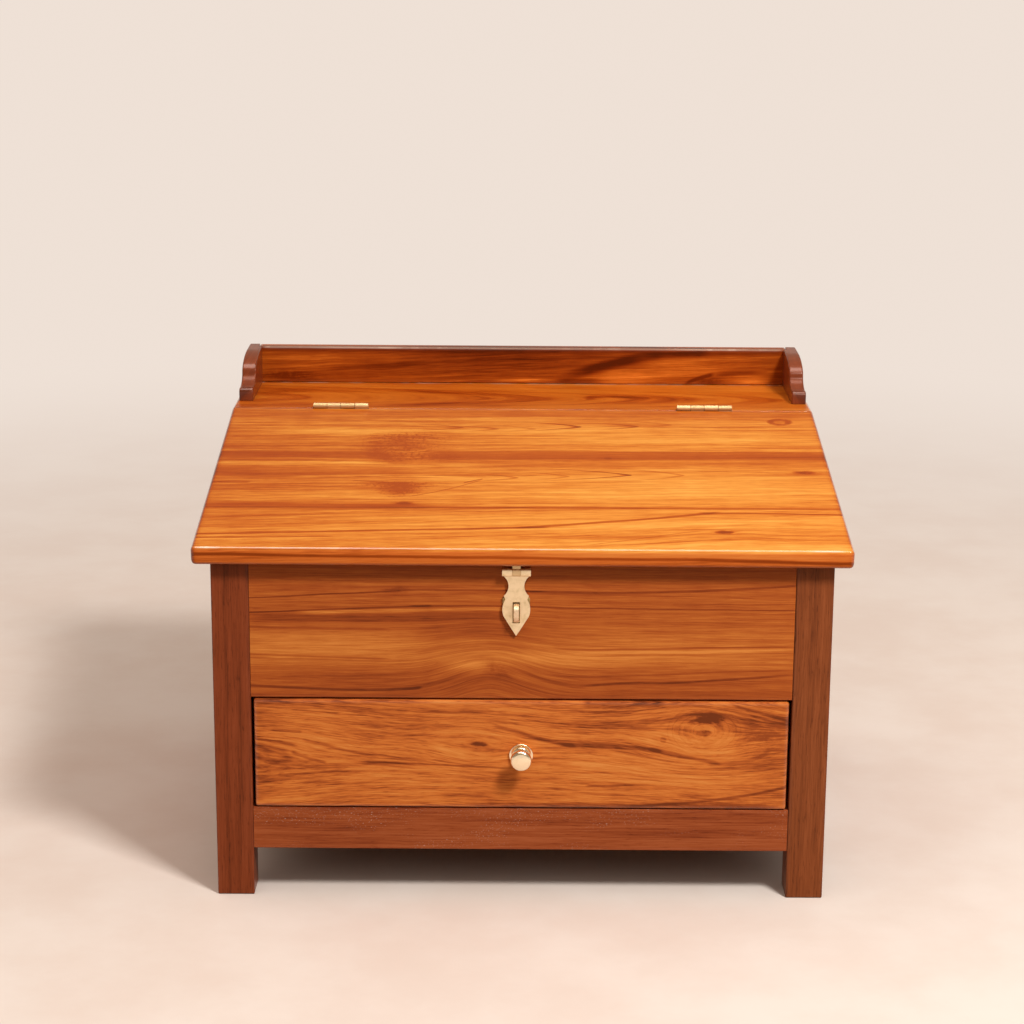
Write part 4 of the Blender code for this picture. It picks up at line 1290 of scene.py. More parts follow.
class Bench:
    """Where pieces are made: meshes are taken from the frame, eased, shaded and set on their bodies."""

    flat_weight = 100

    @staticmethod
    def mesh(form: Form, name: str) -> bpy.types.Mesh:
        """Makes a mesh.

        Args:
            form: its shape, which is used up.
            name: its name.

        Returns:
            The mesh.
        """
        made = bpy.data.meshes.new(name)
        form.to_mesh(made)
        form.free()
        return made

    @staticmethod
    def put(name: str, data: bpy.types.ID) -> bpy.types.Object:
        """Puts a mesh, a lamp or a camera in the scene.

        Args:
            name: the object's name.
            data: what it holds.

        Returns:
            The object.
        """
        made = bpy.data.objects.new(name, data)
        bpy.context.scene.collection.objects.link(made)
        return made

    @staticmethod
    def clean(form: Form) -> None:
        """Welds a shape's points and makes its flat faces whole."""
        bmesh.ops.remove_doubles(form, verts=form.verts, dist=WELD)
        bmesh.ops.dissolve_limit(form, angle_limit=FLAT_ANGLE, verts=form.verts, edges=form.edges)

    @classmethod
    def blank(cls, node: str) -> Form:
        """A node's solid as a clean shape.

        Args:
            node: the node's name.

        Returns:
            The shape, welded and with its flat faces whole.
        """
        source = frame["nodes"][node].data
        rough = bpy.data.meshes.new(node + "_blank")
        rough.from_pydata([v.co for v in source.vertices], [], [tuple(p.vertices) for p in source.polygons])
        form = bmesh.new()
        form.from_mesh(rough)
        bpy.data.meshes.remove(rough)
        cls.clean(form)
        bmesh.ops.recalc_face_normals(form, faces=form.faces)
        return form

    @staticmethod
    def ease(form: Form, chosen: Callable[[Edge], bool], width: float, steps: int) -> None:
        """Rounds the sharp outer edges that a test picks.

        Args:
            form: the shape.
            chosen: the test.
            width: how far the rounding reaches over each face.
            steps: how many facets it has.
        """
        edges = [
            edge
            for edge in form.edges
            if edge.is_manifold and edge.calc_face_angle_signed() > SHARP_ANGLE and chosen(edge)
        ]
        bmesh.ops.bevel(
            form, geom=edges, offset=width, segments=steps, profile=0.5, affect="EDGES", clamp_overlap=True
        )

    @classmethod
    def file(cls, form: Form, width: float, steps: int = 1) -> None:
        """Files the edges of a metal shape that are long enough to take it."""
        cls.ease(form, lambda edge: edge.calc_length() > width * 2, width, steps)

    @staticmethod
    def outer(board: Board) -> Callable[[Edge], bool]:
        """A test for the edges that lie on two of a board's outer faces.

        Args:
            board: the board.

        Returns:
            The test.
        """
        span = board.span()

        def on_two_faces(edge: Edge) -> bool:
            """Whether an edge's middle lies on two outer faces."""
            middle = board.own((edge.verts[0].co + edge.verts[1].co) / 2)
            return sum(min(abs(m - a), abs(m - b)) < ON_FACE for m, a, b in zip(middle, *span)) >= 2

        return on_two_faces

    @classmethod
    def set_out(cls, form: Form, node: str, stuff: Stuff, material: bpy.types.Material) -> None:
        """Makes a piece of a shape and sets it in the place of a node.

        Args:
            form: the shape, which is used up.
            node: the node that it stands for.
            stuff: what it is made of.
            material: its material.
        """
        name = f"{node}_{stuff.value}"
        mesh = cls.mesh(form, name)
        mesh.shade_smooth()
        mesh.set_sharp_from_angle(angle=SHARP_ANGLE)
        mesh.materials.append(material)
        piece = cls.put(name, mesh)
        normals = piece.modifiers.new("flat_faces", "WEIGHTED_NORMAL")
        normals.weight = cls.flat_weight
        normals.keep_sharp = True
        source = frame["nodes"][node]
        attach(piece, source["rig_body"])
        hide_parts(node)

    @classmethod
    def plane_board(cls, board: Board, finish: TeakFinish, easing: float = 0.0, steps: int = 2) -> None:
        """A board with eased arrises and its own figure.

        Args:
            board: the board.
            finish: its finish.
            easing: how far its arrises are eased, or 0 to leave them.
            steps: the facets of each easing.
        """
        form = cls.blank(board.node)
        if easing:
            cls.ease(form, cls.outer(board), easing, steps)
        cls.set_out(form, board.node, Stuff.BOARD, finish.material(board))

    @classmethod
    def file_metal(cls, node: str, finish: BrassFinish, seed: float, easing: float = 0.0) -> None:
        """A small metal piece with its edges filed.

        Args:
            node: the node that it stands for.
            finish: its finish.
            seed: shifts its scratches.
            easing: how far its edges are filed, or 0 to leave them.
        """
        form = cls.blank(node)
        if easing:
            cls.file(form, easing)
        cls.set_out(form, node, Stuff.METAL, finish.material(node, seed))

    @classmethod
    def cut(cls, first: Form, second: Form) -> Form:
        """A solid with another cut out of it.

        Args:
            first: the closed shape that is cut, which is used up.
            second: the closed shape of the hole, which is used up.

        Returns:
            What is left.
        """
        whole, hole = (cls.put("rough", cls.mesh(form, "rough")) for form in (first, second))
        saw = whole.modifiers.new("saw", "BOOLEAN")
        saw.operation = "DIFFERENCE"
        saw.solver = "EXACT"
        saw.object = hole
        left = bmesh.new()
        left.from_object(whole, bpy.context.evaluated_depsgraph_get())
        for piece in (whole, hole):
            bpy.data.meshes.remove(piece.data)
        cls.clean(left)
        return left

    @classmethod
    def join(cls, form: Form, other: Form) -> None:
        """Adds a shape to another.

        Args:
            form: the shape that grows.
            other: the shape that is added, which is used up.
        """
        rough = cls.mesh(other, "rough")
        form.from_mesh(rough)
        bpy.data.meshes.remove(rough)

    @staticmethod
    def turned(profile: list[Pair], place: Matrix, steps: int) -> Form:
        """A turned solid.

        Args:
            profile: its half outline from axis to axis, as radius and height.
            place: where it stands, with the axis up.
            steps: how many sides it has.

        Returns:
            The solid.
        """
        form = bmesh.new()
        points = [form.verts.new((radius, 0.0, height)) for radius, height in profile]
        lines = [form.edges.new(pair) for pair in zip(points, points[1:])]
        bmesh.ops.spin(
            form, geom=[*points, *lines], cent=(0.0, 0.0, 0.0), axis=Way.UP.value, angle=math.tau,
            steps=steps, use_merge=True,
        )
        bmesh.ops.remove_doubles(form, verts=form.verts, dist=WELD)
        bmesh.ops.recalc_face_normals(form, faces=form.faces)
        bmesh.ops.transform(form, matrix=place, verts=form.verts)
        return form

    @staticmethod
    def prism(outline: list[Pair], near: float, far: float) -> Form:
        """A solid with an outline in side view.

        Args:
            outline: its corners as distances to the back and up.
            near: its left face.
            far: its right face.

        Returns:
            The solid.
        """
        form = bmesh.new()
        face = form.faces.new([form.verts.new((near, y, z)) for y, z in outline])
        pushed = bmesh.ops.extrude_face_region(form, geom=[face])
        moved = [item for item in pushed["geom"] if isinstance(item, bmesh.types.BMVert)]
        bmesh.ops.translate(form, verts=moved, vec=(far - near, 0.0, 0.0))
        bmesh.ops.recalc_face_normals(form, faces=form.faces)
        return form

    @classmethod
    def block(cls, low: Vector, high: Vector) -> Form:
        """A block between two corners."""
        outline = [(low.y, low.z), (high.y, low.z), (high.y, high.z), (low.y, high.z)]
        return cls.prism(outline, low.x, high.x)

    @staticmethod
    def quarter(steps: int) -> list[float]:
        """The angles of a quarter turn, in even steps."""
        return [math.pi / 2 * step / steps for step in range(steps + 1)]


AMBER = (1.0, 0.55, 0.25)
DARK_TEAK = TeakFinish(
    colours=(
        (0.0, (0.086, 0.017, 0.006)),
        (0.35, (0.187, 0.037, 0.012)),
        (0.60, (0.252, 0.051, 0.016)),
        (1.0, (0.315, 0.068, 0.024)),
    ),
    line=0.14, streaky=1.15, broad=0.24, fibre=1.05, silk=0.10, pore=0.34, arris_coat=0.10,
)
BROWN_TEAK = replace(
    DARK_TEAK,
    colours=(
        (0.0, (0.090, 0.021, 0.008)),
        (0.35, (0.195, 0.049, 0.016)),
        (0.60, (0.258, 0.066, 0.020)),
        (1.0, (0.350, 0.095, 0.031)),
    ),
)
BRACKET_TEAK = TeakFinish(
    colours=(
        (0.0, (0.063, 0.013, 0.0057)),
        (0.35, (0.153, 0.031, 0.0104)),
        (0.60, (0.203, 0.042, 0.0133)),
        (1.0, (0.279, 0.061, 0.0199)),
    ),
    line=0.14, streaky=0.90, broad=0.20, fibre=0.75, arris_coat=0.30, arris_reach=0.02, gloss=0.26,
    gloss_tint=(1.0, 0.80, 0.72),
)
RED_TEAK = TeakFinish(
    colours=(
        (0.0, (0.130, 0.022, 0.008)),
        (0.30, (0.258, 0.048, 0.014)),
        (0.60, (0.368, 0.081, 0.023)),
        (1.0, (0.465, 0.122, 0.042)),
    ),
    line=0.18, streaky=1.50, broad=0.30, fibre=0.95, pore=0.24, arris_coat=0.10, dust=0.60,
)
PANEL_TEAK = TeakFinish(
    colours=(
        (0.0, (0.080, 0.014, 0.005)),
        (0.20, (0.281, 0.052, 0.0114)),
        (0.40, (0.418, 0.086, 0.0166)),
        (0.60, (0.532, 0.132, 0.0239)),
        (0.80, (0.666, 0.202, 0.0374)),
        (1.0, (0.800, 0.280, 0.058)),
    ),
    tone=0.55, line=0.20, streaky=0.80, broad=0.30, fibre=0.66, arris_coat=0.10,
)
DRAWER_TEAK = TeakFinish(
    colours=(
        (0.0, (0.120, 0.024, 0.007)),
        (0.20, (0.347, 0.072, 0.0168)),
        (0.40, (0.557, 0.132, 0.0263)),
        (0.60, (0.724, 0.200, 0.0378)),
        (0.80, (0.790, 0.252, 0.051)),
        (1.0, (0.860, 0.318, 0.073)),
    ),
    tone=0.57, line=0.18, streaky=1.65, broad=0.40, fibre=1.10, pore=0.16,
)
LID_TEAK = TeakFinish(
    colours=(
        (0.0, (0.085, 0.011, 0.001)),
        (0.22, (0.360, 0.054, 0.004)),
        (0.40, (0.455, 0.090, 0.0064)),
        (0.55, (0.574, 0.151, 0.0138)),
        (0.75, (0.718, 0.261, 0.0340)),
        (1.0, (0.827, 0.392, 0.0736)),
    ),
    edge_colours=(
        (0.0, (0.150, 0.020, 0.002)),
        (0.30, (0.500, 0.088, 0.010)),
        (0.60, (0.800, 0.186, 0.029)),
        (1.0, (0.930, 0.290, 0.056)),
    ),
    line=0.18, streaky=0.92, broad=0.36, fibre=0.60, stain_floor=0.25, dark_floor=0.15,
    # The wide arris band is painted shade on the lid's rounded edges, and the pale colour is the painted
    # highlight on its front arris.
    arris_width=0.0042, gloss_tint=AMBER, dust_colour=(0.80, 0.62, 0.50),
)
LEDGE_TEAK = TeakFinish(
    colours=(
        (0.0, (0.114, 0.012, 0.0008)),
        (0.20, (0.271, 0.033, 0.0016)),
        (0.40, (0.442, 0.081, 0.0048)),
        (0.60, (0.551, 0.131, 0.0096)),
        (1.0, (0.665, 0.199, 0.0208)),
    ),
    tone=0.64, line=0.16, streaky=1.90, broad=0.80, gloss_tint=AMBER,
)
GALLERY_TEAK = TeakFinish(
    colours=(
        (0.0, (0.062, 0.008, 0.001)),
        (0.20, (0.165, 0.022, 0.002)),
        (0.40, (0.272, 0.045, 0.0042)),
        (0.60, (0.393, 0.077, 0.0064)),
        (0.80, (0.572, 0.140, 0.0138)),
        (1.0, (0.790, 0.230, 0.028)),
    ),
    tone=0.55, line=0.14, streaky=0.86, fibre=0.62, arris_coat=1.0, arris=0.0, gloss_tint=AMBER,
)
INNER_TEAK = TeakFinish(
    colours=(
        (0.0, (0.120, 0.040, 0.014)),
        (0.35, (0.300, 0.115, 0.042)),
        (0.65, (0.440, 0.190, 0.075)),
        (1.0, (0.560, 0.270, 0.120)),
    ),
    roughness=0.58, arris_coat=0.0, bump=0.30,
)
SATIN_BRASS = BrassFinish(bright=(0.91, 0.72, 0.47), dull=(0.58, 0.43, 0.19), roughness=0.46, tarnish=0.75)
STAPLE_BRASS = BrassFinish(bright=(0.88, 0.68, 0.46), dull=(0.52, 0.31, 0.16), roughness=0.50, tarnish=0.9)
HINGE_BRASS = BrassFinish(bright=(0.68, 0.49, 0.27), dull=(0.53, 0.36, 0.175), roughness=0.64)
# Dark brass for the staple plate: tarnish, and painted shade where it sits behind the strap.
TARNISHED_SHADED_BRASS = BrassFinish(bright=(0.42, 0.30, 0.13), dull=(0.24, 0.16, 0.06), roughness=0.42)
BRIGHT_BRASS = BrassFinish(bright=(0.97, 0.81, 0.57), roughness=0.20, haze=0.08, tarnish=0.30, bump=0.04)



@dataclass
class Casework:
    """Legs, panels, rail and the pieces inside the case."""

    panel_easing: float = 0.0007
    inner_easing: float = 0.0006
    inner_steps: int = 1
    leg_shift: float = 4.7
    side_shift: float = 1.0
    runner_shift: float = 3.3

    def build(self) -> None:
        """Makes every piece of the case."""
        self.legs()
        self.panels()
        self.inside()

    def legs(self) -> None:
        """Four dark legs with upright grain."""
        for number, name in enumerate(("front_left", "front_right", "rear_left", "rear_right")):
            figure = LEG_FIGURE.again(number * self.leg_shift)
            across = Way.LEFT if name.startswith("front") else Way.RIGHT
            finish = DARK_TEAK if name.endswith("left") else BROWN_TEAK
            Bench.plane_board(Board.squared(name + "_leg", figure, Way.UP, across, MIDDLE), finish)

    def panels(self) -> None:
        """The front panel of the writing well, the rail under the drawer, the two sides and the back."""
        for name, figure, finish, along in (
            ("front_panel", PANEL_FIGURE, PANEL_TEAK, Way.RIGHT),
            ("front_bottom_rail", RAIL_FIGURE, RED_TEAK, Way.RIGHT),
            ("left_side_panel", SIDE_FIGURE, PANEL_TEAK, Way.FRONT),
            ("right_side_panel", SIDE_FIGURE.again(self.side_shift), PANEL_TEAK, Way.BACK),
            ("back_panel", BACK_FIGURE, RED_TEAK, Way.LEFT),
        ):
            Bench.plane_board(Board.squared(name, figure, along, Way.UP), finish, self.panel_easing)

    def inside(self) -> None:
        """The floor of the well, and the runners and guides of the drawer."""
        Bench.plane_board(Board.squared("well_floor", FLOOR_FIGURE, Way.RIGHT, Way.BACK), INNER_TEAK)
        for number, side in enumerate(SIDES):
            for kind, figure in (("runner", RUNNER_FIGURE), ("guide", GUIDE_FIGURE)):
                own_figure = figure.again(number * self.runner_shift)
                board = Board.squared(f"{side}_drawer_{kind}", own_figure, Way.BACK, Way.LEFT, MIDDLE)
                Bench.plane_board(board, INNER_TEAK, self.inner_easing, self.inner_steps)


@dataclass
class LedgeAndGallery:
    """The flat ledge behind the lid, and the low gallery on it."""

    rail_easing: float = 0.0024
    bracket_easing: float = 0.0018
    easing_steps: int = 3
    bracket_shift: float = 6.1
    housing_gap: float = 0.0003
    toe_height: float = 0.0088
    # How dark the painted shade on the toe's front is.
    toe_stain: float = 0.62
    toe_half_length: float = 0.012
    toe_half_height: float = 0.008
    nose_radius: float = 0.0056
    step_run: float = 0.0030
    cove_run: float = 0.0270
    cove_rise: float = 0.0122
    shoulder_run: float = 0.0560
    curve_steps: int = 14

    def build(self) -> None:
        """Makes the ledge, the rail and the two brackets."""
        Bench.plane_board(Board.squared("top_ledge", LEDGE_FIGURE, Way.RIGHT, Way.BACK), LEDGE_TEAK)
        rail = Board.squared("gallery_rail", GALLERY_FIGURE, Way.RIGHT, Way.UP)
        Bench.plane_board(rail, GALLERY_TEAK, self.rail_easing, self.easing_steps)
        for number, (side, along) in enumerate(zip(SIDES, (Way.FRONT, Way.BACK))):
            self.bracket(f"gallery_{side}_bracket", along, BRACKET_FIGURE.again(number * self.bracket_shift))

    def bracket(self, name: str, along: Way, figure: Figure) -> None:
        """One shaped bracket, with its long edges rounded and painted shade on its toe.

        Args:
            name: the bracket's node.
            along: the way of its grain.
            figure: its figure, without the toe's painted shade.
        """
        low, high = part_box(name)
        # Painted shade: the toe's upright front is darkened, as it lies in shade under the lit nose.
        toe = Knot(
            low.y * along.value[1], self.toe_height / 2, self.toe_half_length, self.toe_half_height,
            stain=self.toe_stain,
        )
        board = Board.squared(name, replace(figure, knots=(toe,)), along, Way.UP)
        gap = Vector((self.housing_gap,) * 3)
        rail_low, rail_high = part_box("gallery_rail")
        housing = Bench.block(rail_low - gap, rail_high + gap)
        form = Bench.cut(Bench.prism(self.profile(low, high), low.x, high.x), housing)
        cheeks = (low.x, high.x)

        def on_cheek(edge: Edge) -> bool:
            """Whether an edge lies along one of the bracket's cheeks, above its foot.

            Args:
                edge: the edge.

            Returns:
                True if it does.
            """
            first, second = (vertex.co for vertex in edge.verts)
            flat = abs(first.x - second.x) < ON_FACE and min(abs(first.x - x) for x in cheeks) < ON_FACE
            return flat and max(first.z, second.z) > low.z + ON_FACE

        Bench.ease(form, on_cheek, self.bracket_easing, self.easing_steps)
        Bench.set_out(form, name, Stuff.BOARD, BRACKET_TEAK.material(board))

    def profile(self, low: Vector, high: Vector) -> list[Pair]:
        """The bracket's outline in side view: toe, round nose, step, cove, long shoulder and flat top.

        Args:
            low: the lowest corner of the bracket.
            high: its highest corner.

        Returns:
            The outline as distances to the back and up.
        """
        nose_y, nose_z = low.y + self.nose_radius, low.z + self.toe_height
        cove_y, cove_z = nose_y + self.step_run, nose_z + self.nose_radius
        shoulder_y, shoulder_z = cove_y + self.cove_run, cove_z + self.cove_rise
        nose, cove, shoulder = [], [], []
        for turn in Bench.quarter(self.curve_steps):
            out, up = math.cos(turn), math.sin(turn)
            nose.append((nose_y - self.nose_radius * out, nose_z + self.nose_radius * up))
            cove.append((cove_y + self.cove_run * up, cove_z + self.cove_rise * (1 - out)))
            rise = (high.z - shoulder_z) * up
            shoulder.append((shoulder_y + self.shoulder_run * (1 - out), shoulder_z + rise))
        return [(low.y, low.z), *nose, *cove, *shoulder[1:], (high.y, high.z), (high.y, low.z)]


@dataclass
class Lid:
    """The sloping lid, glued up of three boards."""

    slope: float = math.radians(8.861)
    front_height: float = 0.3827

    def build(self) -> None:
        """Makes the lid."""
        low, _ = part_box("lid")
        across = (0.0, math.cos(self.slope), math.sin(self.slope))
        board = Board("lid", LID_FIGURE, Way.RIGHT.value, across, (0.0, low.y, self.front_height))
        Bench.plane_board(board, LID_TEAK)


@dataclass
class Drawer:
    """The drawer: its figured front, its plain box and its knob."""

    inner_easing: float = 0.0008
    side_shift: float = 5.3
    knob_steps: int = 64
    knob_seed: float = 2.0
    flange_depth: float = 0.0026
    flange_easing: float = 0.0010
    ring_radius: float = 0.0090
    ring_depth: float = 0.0024
    ring_fall: float = 0.5
    neck_radius: float = 0.0056
    head_radius: float = 0.0111
    head_depth: float = 0.0090
    rim: float = 0.0042
    dome: float = 0.0014
    head_cup: float = 0.0024
    arc_steps: int = 8
    screw_easing: float = 0.0004
    screw_seed: float = 2.6

    def build(self) -> None:
        """Makes every piece of the drawer."""
        Bench.plane_board(Board.squared("drawer_front", DRAWER_FIGURE, Way.RIGHT, Way.UP), DRAWER_TEAK)
        for name, figure, along in (
            ("drawer_left_side", DRAWER_SIDE_FIGURE, Way.FRONT),
            ("drawer_right_side", DRAWER_SIDE_FIGURE.again(self.side_shift), Way.BACK),
            ("drawer_back", DRAWER_BACK_FIGURE, Way.LEFT),
        ):
            Bench.plane_board(Board.squared(name, figure, along, Way.UP), INNER_TEAK, self.inner_easing)
        bottom = Board.squared("drawer_bottom", DRAWER_BOTTOM_FIGURE, Way.RIGHT, Way.BACK)
        Bench.plane_board(bottom, INNER_TEAK)
        self.knob()
        Bench.file_metal("knob_screw", SATIN_BRASS, self.screw_seed, self.screw_easing)

    def knob(self) -> None:
        """The turned knob: flange, ring, neck and a drum-shaped head with a round rim."""
        low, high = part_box("drawer_knob")
        reach, flange = high.y - low.y, (high.z - low.z) / 2
        ring_top = self.flange_depth + self.ring_depth
        ring_run, undercut = self.ring_radius - self.neck_radius, self.head_radius - self.neck_radius
        head_back, rim_middle = reach - self.head_depth, reach - self.dome - self.rim
        edge, ring, head, rim = [], [], [], []
        for turn in Bench.quarter(self.arc_steps):
            out, up = math.cos(turn), math.sin(turn)
            ease = self.flange_easing
            edge.append((flange - ease + ease * out, self.flange_depth - ease + ease * up))
            ring.append((self.neck_radius + ring_run * out, ring_top + ring_run * (up - 1) * self.ring_fall))
            head.append((self.neck_radius + undercut * up, head_back + self.head_cup * (1 - out)))
            rim.append((self.head_radius - self.rim + self.rim * out, rim_middle + self.rim * up))
        foot = [(0.0, 0.0), (flange, 0.0)]
        profile = [*foot, *edge, (self.ring_radius, self.flange_depth), *ring, *head, *rim, (0.0, reach)]
        middle = ((low.x + high.x) / 2, high.y, (low.z + high.z) / 2)
        place = Matrix.Translation(middle) @ Matrix.Rotation(math.pi / 2, 4, "X")
        form = Bench.turned(profile, place, self.knob_steps)
        material = BRIGHT_BRASS.material("drawer_knob", self.knob_seed)
        Bench.set_out(form, "drawer_knob", Stuff.METAL, material)


@dataclass
class Hinges:
    """The two butt hinges of the lid, with their pins and screws."""

    length: float = 0.0635
    knuckles: int = 4
    leaf_easing: float = 0.00025
    leaf_seeds: tuple[tuple[str, float], ...] = (("ledge", 15.0), ("lid", 13.0))
    leaf_shift: float = 3.0
    screws: int = 3
    screw_seed: float = 21.0
    screw_shift: float = 7.0
    pin_seed: float = 30.0

    def build(self) -> None:
        """Makes every piece of both hinges."""
        for number, side in enumerate(SIDES):
            for leaf, seed in self.leaf_seeds:
                name = f"{side}_hinge_{leaf}_leaf"
                self.leaf(name, seed + number * self.leaf_shift)
                for screw in range(self.screws):
                    screw_seed = self.screw_seed + number * self.screw_shift + screw
                    Bench.file_metal(f"{name}_screw_{screw + 1}", SATIN_BRASS, screw_seed)
            Bench.file_metal(f"{side}_hinge_pin", HINGE_BRASS, self.pin_seed + number)

    def leaf(self, name: str, seed: float) -> None:
        """One leaf with its knuckles.

        Args:
            name: the leaf's node.
            seed: shifts its scratches.
        """
        low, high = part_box(name)
        pitch = self.length / self.knuckles
        start = (low.x + high.x) / 2 - self.length / 2
        form = Bench.blank(name)
        Bench.file(form, self.leaf_easing)
        Bench.set_out(form, name, Stuff.METAL, HINGE_BRASS.material(name, seed, (start, pitch)))


@dataclass
class Hasp:
    """The hasp, its plate and pin under the lid, and the staple with its plate."""

    edge: float = 0.0004
    strap_edge_steps: int = 2
    width: float = 0.0292
    centre_knuckle: float = 0.0090
    roll_radius: float = 0.0042
    roll_squareness: float = 3.4
    roll_steps: int = 40
    tip_length: float = 0.0050
    tip_set_back: float = 0.0013
    neck_front: float = 0.0027
    neck_thickness: float = 0.0018
    neck_rise: float = 0.0091
    strap_seed: float = 40.0
    plate_seed: float = 41.7
    staple_seed: float = 43.4
    staple_plate_seed: float = 45.1
    pin_seed: float = 48.0
    screw_seeds: tuple[tuple[str, float], ...] = (("hasp", 54.0), ("staple", 56.0))

    def build(self) -> None:
        """Makes every piece of the hasp and of the staple."""
        self.strap()
        self.plate()
        Bench.file_metal("staple", STAPLE_BRASS, self.staple_seed, self.edge)
        # The staple plate is dark partly as painted shade behind the strap.
        Bench.file_metal("staple_plate", TARNISHED_SHADED_BRASS, self.staple_plate_seed, self.edge)
        Bench.file_metal("hasp_pin", SATIN_BRASS, self.pin_seed)
        for plate, seed in self.screw_seeds:
            for number, side in enumerate(SIDES):
                Bench.file_metal(f"{plate}_plate_{side}_screw", SATIN_BRASS, seed + number)

    @staticmethod
    def axis() -> Vector:
        """The middle of the hasp's pin."""
        low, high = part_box("hasp_pin")
        return (low + high) / 2

    def roll(self, form: Form, near: float, far: float) -> None:
        """Adds a knuckle, rolled round the pin and hammered a little square.

        Args:
            form: the shape that it is added to.
            near: its left end.
            far: its right end.
        """
        axis = self.axis()
        outline = []
        for step in range(self.roll_steps):
            turn = math.tau * step / self.roll_steps
            back, up = (
                math.copysign(abs(part) ** (2 / self.roll_squareness), part) * self.roll_radius
                for part in (math.cos(turn), math.sin(turn))
            )
            outline.append((axis.y + back, axis.z + up))
        Bench.join(form, Bench.prism(outline, near, far))

    def strap(self) -> None:
        """The strap: filed edges, a tip that is ground thin, and a knuckle at each side."""
        low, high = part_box("hasp_strap")
        form = Bench.blank("hasp_strap")
        Bench.file(form, self.edge, self.strap_edge_steps)
        grind = low.z + self.tip_length
        whole = [*form.verts, *form.edges, *form.faces]
        bmesh.ops.bisect_plane(form, geom=whole, plane_co=(0.0, 0.0, grind), plane_no=Way.UP.value)
        front = min(vertex.co.y for vertex in form.verts if vertex.co.z < grind + WELD)
        for vertex in form.verts:
            below = (grind - vertex.co.z) / self.tip_length
            if below > 0.0 and vertex.co.y < front + self.tip_set_back:
                vertex.co.y += self.tip_set_back * below
        middle = (low.x + high.x) / 2
        for sign in (-1, 1):
            ends = sorted((middle + sign * self.centre_knuckle / 2, middle + sign * self.width / 2))
            self.roll(form, *ends)
        material = SATIN_BRASS.material("hasp_strap", self.strap_seed)
        Bench.set_out(form, "hasp_strap", Stuff.METAL, material)

    def plate(self) -> None:
        """The plate under the lid, with its knuckle in the middle and a neck that joins the two."""
        axis = self.axis()
        form = Bench.blank("hasp_plate")
        Bench.file(form, self.edge)
        half = self.centre_knuckle / 2 - self.edge
        self.roll(form, axis.x - half, axis.x + half)
        foot = Vector((axis.x - half, axis.y - self.neck_front, axis.z))
        Bench.join(form, Bench.block(foot, foot + Vector((2 * half, self.neck_thickness, self.neck_rise))))
        material = HINGE_BRASS.material("hasp_plate", self.plate_seed)
        Bench.set_out(form, "hasp_plate", Stuff.METAL, material)


